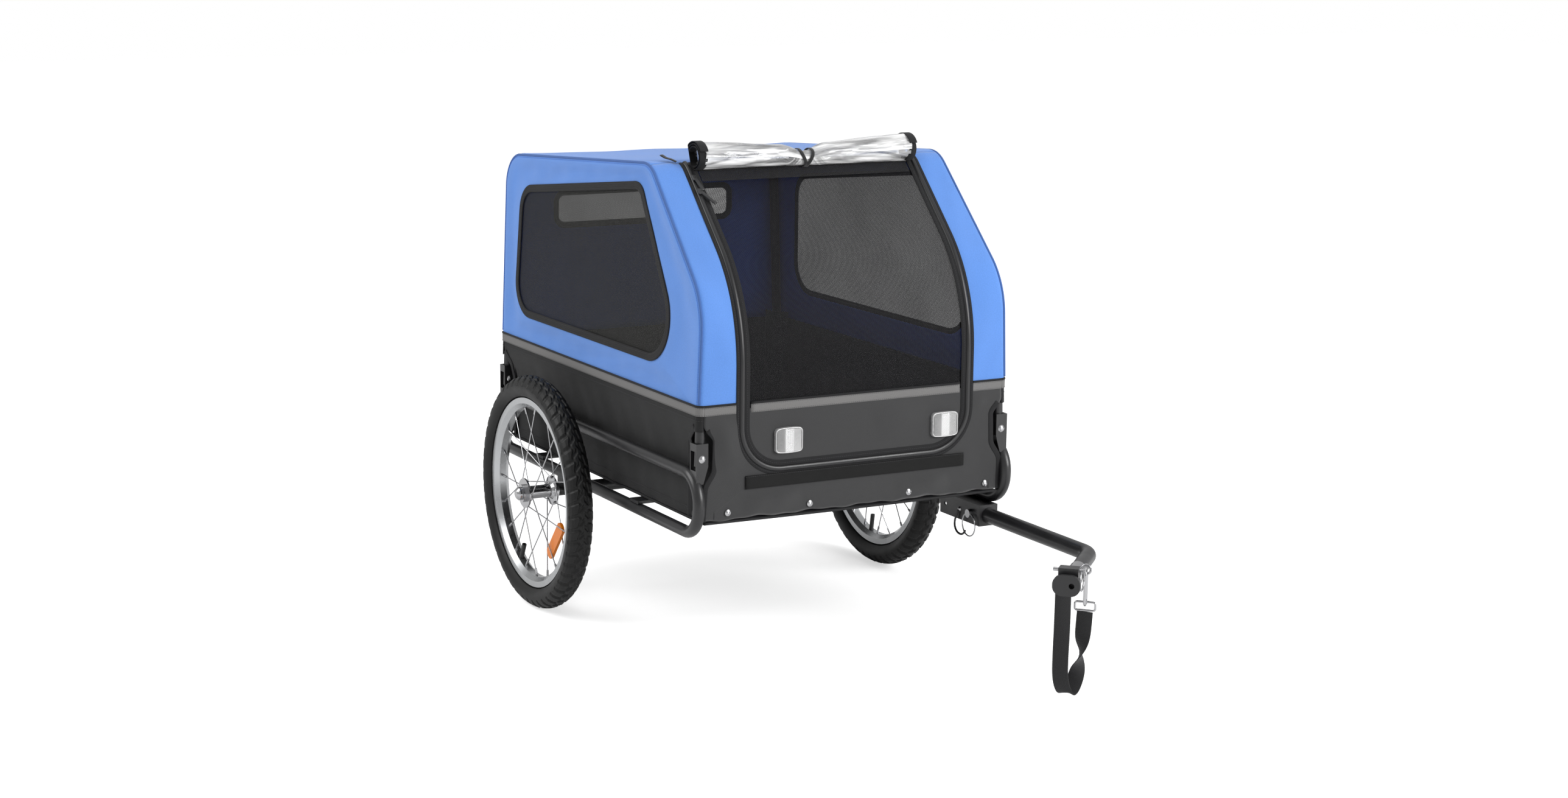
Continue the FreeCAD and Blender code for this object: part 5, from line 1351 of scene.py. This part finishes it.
def corner_liner(name, side, fore):
    """Black cloth behind a hinge bracket: a rounded corner carried from the hem to just over the stripe."""
    plan = through(LINER_PLAN, step=0.002)
    x = HOOP_FRONT - plan[:, :1] if fore else HOOP_REAR + plan[:, :1]
    z = np.linspace(HEM_Z + 0.002, LINER_TOP, 34)[None, :]
    obj = grid("corner_liner_%s_%s" % ("front" if fore else "rear", name), xyz(x, side * plan[:, 1:], z),
               [BLACK_INSIDE], flip=(side > 0) == fore)
    sway(thicken(obj, CLOTH, offset=0.0))


for name, side in SIDES.items():
    corner_liner(name, side, True)
    corner_liner(name, side, False)


# Door reflectors: a bowed silver body and a lens of prisms

REFLECTORS = (("right", -0.124), ("left", 0.160))
REFLECTOR_Z = 0.360
REFLECTOR_HALF = np.array([0.0240, 0.0186])
REFLECTOR_CORNER = 0.0055
REFLECTOR_BOW = 0.09
LIP_DEPTHS = np.array([-0.001, 0.0056, 0.0068, 0.0072, 0.0070, 0.0060])
LIP_SIZES = np.array([1.0, 1.0, 0.985, 0.955, 0.925, 0.910])
LENS = np.array([0.0212, 0.0168])
LENS_LIFT = 0.0062
LENS_DOME = 0.0010
ZONE = 0.0075
PRISM = 0.0023
PRISM_DEPTH = 0.0008


def bow(across):
    """Share by which a reflector is taller in its middle than at its ends."""
    return 1 + REFLECTOR_BOW * (1 - (across / REFLECTOR_HALF[0]) ** 2)


def reflector_body(name, y):
    """Rounded outline carried forward from the cloth, over a round lip and in to the lens."""
    corners = np.array([(-1, -1), (1, -1), (1, 1), (-1, 1)]) * REFLECTOR_HALF
    line = rounded_line(corners, (REFLECTOR_CORNER,) * 4, closed=True, step=0.001)[:-1]
    line[:, 1] *= bow(line[:, 0])
    flat = line[:, None] * LIP_SIZES[None, :, None]
    points = xyz(FRONT_X + LIP_DEPTHS, y + flat[..., 0], REFLECTOR_Z + flat[..., 1])
    return grid("reflector_body_" + name, points, [SILVER], wrap_rows=True)


def reflector_lens(name, y):
    """Lens in three zones of prism rows: a folded wave along a slant that turns over from zone to zone."""
    across = np.linspace(-LENS[0], LENS[0], 150)[:, None]
    up = np.linspace(-LENS[1], LENS[1], 130)[None, :]
    zone = np.where(np.abs(across) < ZONE, 0.0, np.sign(across))
    slant = np.where(zone == 0, up + np.abs(((across / 0.0038) % 1) - 0.5) * 0.0040, up * 1.2 + across * zone)
    ridge = np.abs((slant / PRISM) % 1 - 0.5)
    groove = smooth_step(-np.abs(np.abs(across) - ZONE), -0.0007, -0.0003)
    x = FRONT_X + LENS_LIFT + LENS_DOME * (1 - (across / LENS[0]) ** 2) + PRISM_DEPTH * ridge * (1 - groove)
    obj = grid("reflector_lens_" + name, xyz(x, y + across, REFLECTOR_Z + up * bow(across)), PRISM_REFLECTION_GREYS)
    # Each zone gets its own grey: painted reflection of how its prisms catch the light
    choice = np.repeat((1 + zone[:-1, 0]).astype(np.int32), up.shape[1] - 1)
    obj.data.polygons.foreach_set("material_index", choice)
    return obj


for name, y in REFLECTORS:
    dressed(reflector_body(name, y), "door", ["door_reflectors"] if y < 0 else [], FOLD)
    dressed(reflector_lens(name, y), "door", fold=FOLD)


# Zip sliders with their pulls, and the strap's tail at the right crest

PULLS = ((9, 0.0), (16, 0.012))
PULL_LENGTH = 0.026
PULL_AHEAD = 8  # points of the zip's path that give its way
PULL_LEAN = 0.006
PULL_SIZE = (0.0058, 0.0022)
PULL_LIFT = 0.0062
SLIDER_HALF = 0.005
SLIDER_SIZE = (0.0085, 0.0034)
SLIDER_DOWN = 0.0015
TAIL_SIZE = (0.010, 0.0016)
TAIL_START = np.array([CREST_X + 0.004, -(PILLAR_EDGE + 0.010), 0.7745])
TAIL_ROUTE = np.array([(0, 0, 0), (-0.005, -0.006, 0.0035), (-0.011, -0.012, 0.0055),
                       (-0.018, -0.017, 0.0095)])

pull_line, pull_out = zip_path(ZIP_MIDDLE, PULL_LIFT)
for number, (place, swing) in enumerate(PULLS):
    start, out = pull_line[place], pull_out[place]
    way = unit(pull_line[place + PULL_AHEAD] - start)
    finish = start + way * PULL_LENGTH + np.array([0, PULL_LEAN + swing, 0])
    tab = band("zip_pull_%d" % number, np.linspace(start, finish, 14), out, PULL_SIZE, MOULDED)
    dressed(tab, "chassis", fold=FOLD)
    line = np.linspace(start - way * SLIDER_HALF, start + way * SLIDER_HALF, 8) - out * SLIDER_DOWN
    slider = band("zip_slider_%d" % number, line, out, SLIDER_SIZE, MOULDED)
    dressed(slider, "chassis", fold=FOLD)
tail = band("crest_strap_tail", through(TAIL_START + TAIL_ROUTE, step=0.002), (0, 0, 1), TAIL_SIZE, WEBBING)
dressed(tail, "chassis", fold=FOLD)


# Floor cloth and roof rods

FLOOR_Z = 0.2415
FLOOR_HALF = 0.2660
FLOOR_GAUGE = 0.0035
FLOOR_HOLLOW = 0.0016
FLOOR_ENDS = (-0.2748, 0.4848)
FLOOR_BAR = 0.275
BAR_PITCH = 0.375
ROD_RADIUS = 0.004
RODS = ((0.287, 0.7622, 0.2470), (-0.150, 0.7379, 0.2479))


def floor_cloth():
    """Floor between the aprons, a little hollow between its bars."""
    x = np.linspace(*FLOOR_ENDS, 90)[:, None]
    y = np.linspace(-FLOOR_HALF, FLOOR_HALF, 60)[None, :]
    hollow = np.cos(2 * math.pi * (x - FLOOR_BAR) / BAR_PITCH) * np.cos(math.pi * y / (2 * FLOOR_HALF))
    return grid("floor_cloth", xyz(x, y, FLOOR_Z + FLOOR_HOLLOW * (hollow - 0.5)), [BLACK_INSIDE])


dressed(thicken(floor_cloth(), FLOOR_GAUGE), "chassis", ["floor_panel"])
for number, (x, z, reach) in enumerate(RODS):
    line = np.linspace((x, -reach, z), (x, reach, z), 20)
    rod = sweep("roof_rod_%d" % number, line, AHEAD, round_profile(ROD_RADIUS, 12), [FIBRE])
    dressed(rod, "chassis", ["roof_rods"] if number == 0 else [], FOLD)


# Tether of the hitch pin: black cord from the screw's head down and round to the pin's ring

TETHER_ROUTE = np.array([(0.412, 0.2425, 0.1930), (0.402, 0.2400, 0.1750), (0.411, 0.2385, 0.1570),
                         (0.432, 0.2390, 0.1545), (0.437, 0.2400, 0.1640)])
TETHER_RADIUS = 0.0018
tether_line = spline_points(TETHER_ROUTE)
tether = sweep("pin_tether", tether_line, (0, 1, 0), round_profile(TETHER_RADIUS), [MOULDED])
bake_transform(tether)


# Cut sizes of the sewn cloth

def cut_area(obj):
    """Flat area of a sheet, as the sum of its faces."""
    areas = np.zeros(len(obj.data.polygons), np.float32)
    obj.data.polygons.foreach_get("area", areas)
    return round(float(areas.sum()), 4)


SHEETS = {"roof_cloth": (0.535, 0.607), "rear_cloth": (0.565, 0.272), "rear_net": (0.340, 0.053),
          "front_apron_cloth": (0.540, 0.174), "rear_apron_cloth": (0.540, 0.179),
          "door_foot_cloth": (0.401, 0.096), "door_net": (0.389, 0.432), "door_top_band": (0.379, 0.038),
          "rain_cover_film": (0.379, 0.246), "floor_cloth": (0.532, 0.760)}
SIDE_SHEETS = {"side_cloth": (0.775, 0.372), "side_net": (0.581, 0.258), "front_pillar": (0.068, 0.440),
               "side_skirt_cloth": (0.747, 0.182), "skirt_corners": (0.031, 0.033),
               "corner_liner_front": (0.052, 0.183), "corner_liner_rear": (0.052, 0.183)}
for name in SIDES:
    SHEETS.update({"%s_%s" % (label, name): size for label, size in SIDE_SHEETS.items()})
for name, size in SHEETS.items():
    piece = bpy.data.objects[name]
    cut_area(piece)


# Studio: floor, light and camera

FLOOR_LIFT = 0.55
FLOOR_REACH = 14.0
SKY = 0.55
CAMERA_PLACE = (3.9801, -2.0568, 1.1978)
CAMERA_AHEAD = np.array([-0.85962, 0.47412, -0.19042])
CAMERA_ROLL = 0.011
CAMERA_LENS = 60.505


def camera_sees(tree):
    """1 for what the camera sees directly or through something clear, 0 for light on its way."""
    path = add_node(tree, "LightPath")
    return maths(tree, "MAXIMUM", path.outputs["Is Camera Ray"], path.outputs["Is Transmission Ray"])


def floor():
    """Pale floor far past the view, lifted towards white where the camera sees it, so only shadow shows."""
    material, tree, shader = start_material("pale_floor")
    set_values(shader, Base_Color=(0.90, 0.90, 0.90, 1), Roughness=0.9, Specular_IOR_Level=0.0,
               Emission_Color=(1, 1, 1, 1))
    tree.links.new(maths(tree, "MULTIPLY", camera_sees(tree), FLOOR_LIFT), shader.inputs["Emission Strength"])
    reach = np.array([-FLOOR_REACH, FLOOR_REACH])
    grid("studio_floor", xyz(reach[:, None], reach[None, :], 0.0), [material])


def sky():
    """White for what the camera sees directly, softer as light."""
    world = bpy.data.worlds.new("studio")
    bpy.context.scene.world = world
    world.use_nodes = True
    tree = world.node_tree
    tree.nodes.clear()
    level = maths(tree, "ADD", maths(tree, "MULTIPLY", camera_sees(tree), 1.0 - SKY), SKY)
    backdrop = add_node(tree, "Background", [("Color", (1, 1, 1, 1)), ("Strength", level)])
    add_node(tree, "OutputWorld", [("Surface", backdrop.outputs[0])])


def area_light(name, place, aim, size, power):
    """A soft square light turned to its aim."""
    data = bpy.data.lights.new(name, "AREA")
    data.shape = "SQUARE"
    data.size = size
    data.energy = power
    obj = bpy.data.objects.new(name, data)
    bpy.context.scene.collection.objects.link(obj)
    turned = (Vector(aim) - Vector(place)).to_track_quat("-Z", "Y").to_matrix().to_4x4()
    obj.matrix_world = Matrix.Translation(place) @ turned


def camera():
    """The photograph's own view: place, way ahead, a slight roll, and the lens."""
    data = bpy.data.cameras.new("view")
    data.sensor_fit = "HORIZONTAL"
    data.sensor_width = 36.0
    data.lens = CAMERA_LENS
    ahead = unit(CAMERA_AHEAD)
    right = unit(np.cross(ahead, np.array([0, 0, 1.0])))
    up = np.cross(right, ahead)
    turn, tilt = math.cos(CAMERA_ROLL), math.sin(CAMERA_ROLL)
    right, up = right * turn + up * tilt, up * turn - right * tilt
    obj = bpy.data.objects.new("view", data)
    bpy.context.scene.collection.objects.link(obj)
    turned = Matrix([list(row) for row in np.stack([right, up, -ahead], -1)]).to_4x4()
    obj.matrix_world = Matrix.Translation(CAMERA_PLACE) @ turned
    bpy.context.scene.camera = obj


floor()
sky()
area_light("key", (-0.7, -2.8, 2.5), (0.0, 0, 0.45), 2.4, 70)
area_light("front", (3.6, 2.0, 1.9), (0.4, 0, 0.45), 2.2, 150)
area_light("top", (-0.2, 0.4, 3.4), (0.1, 0, 0.3), 2.6, 18)
camera()
bpy.context.scene.view_settings.view_transform = "Standard"
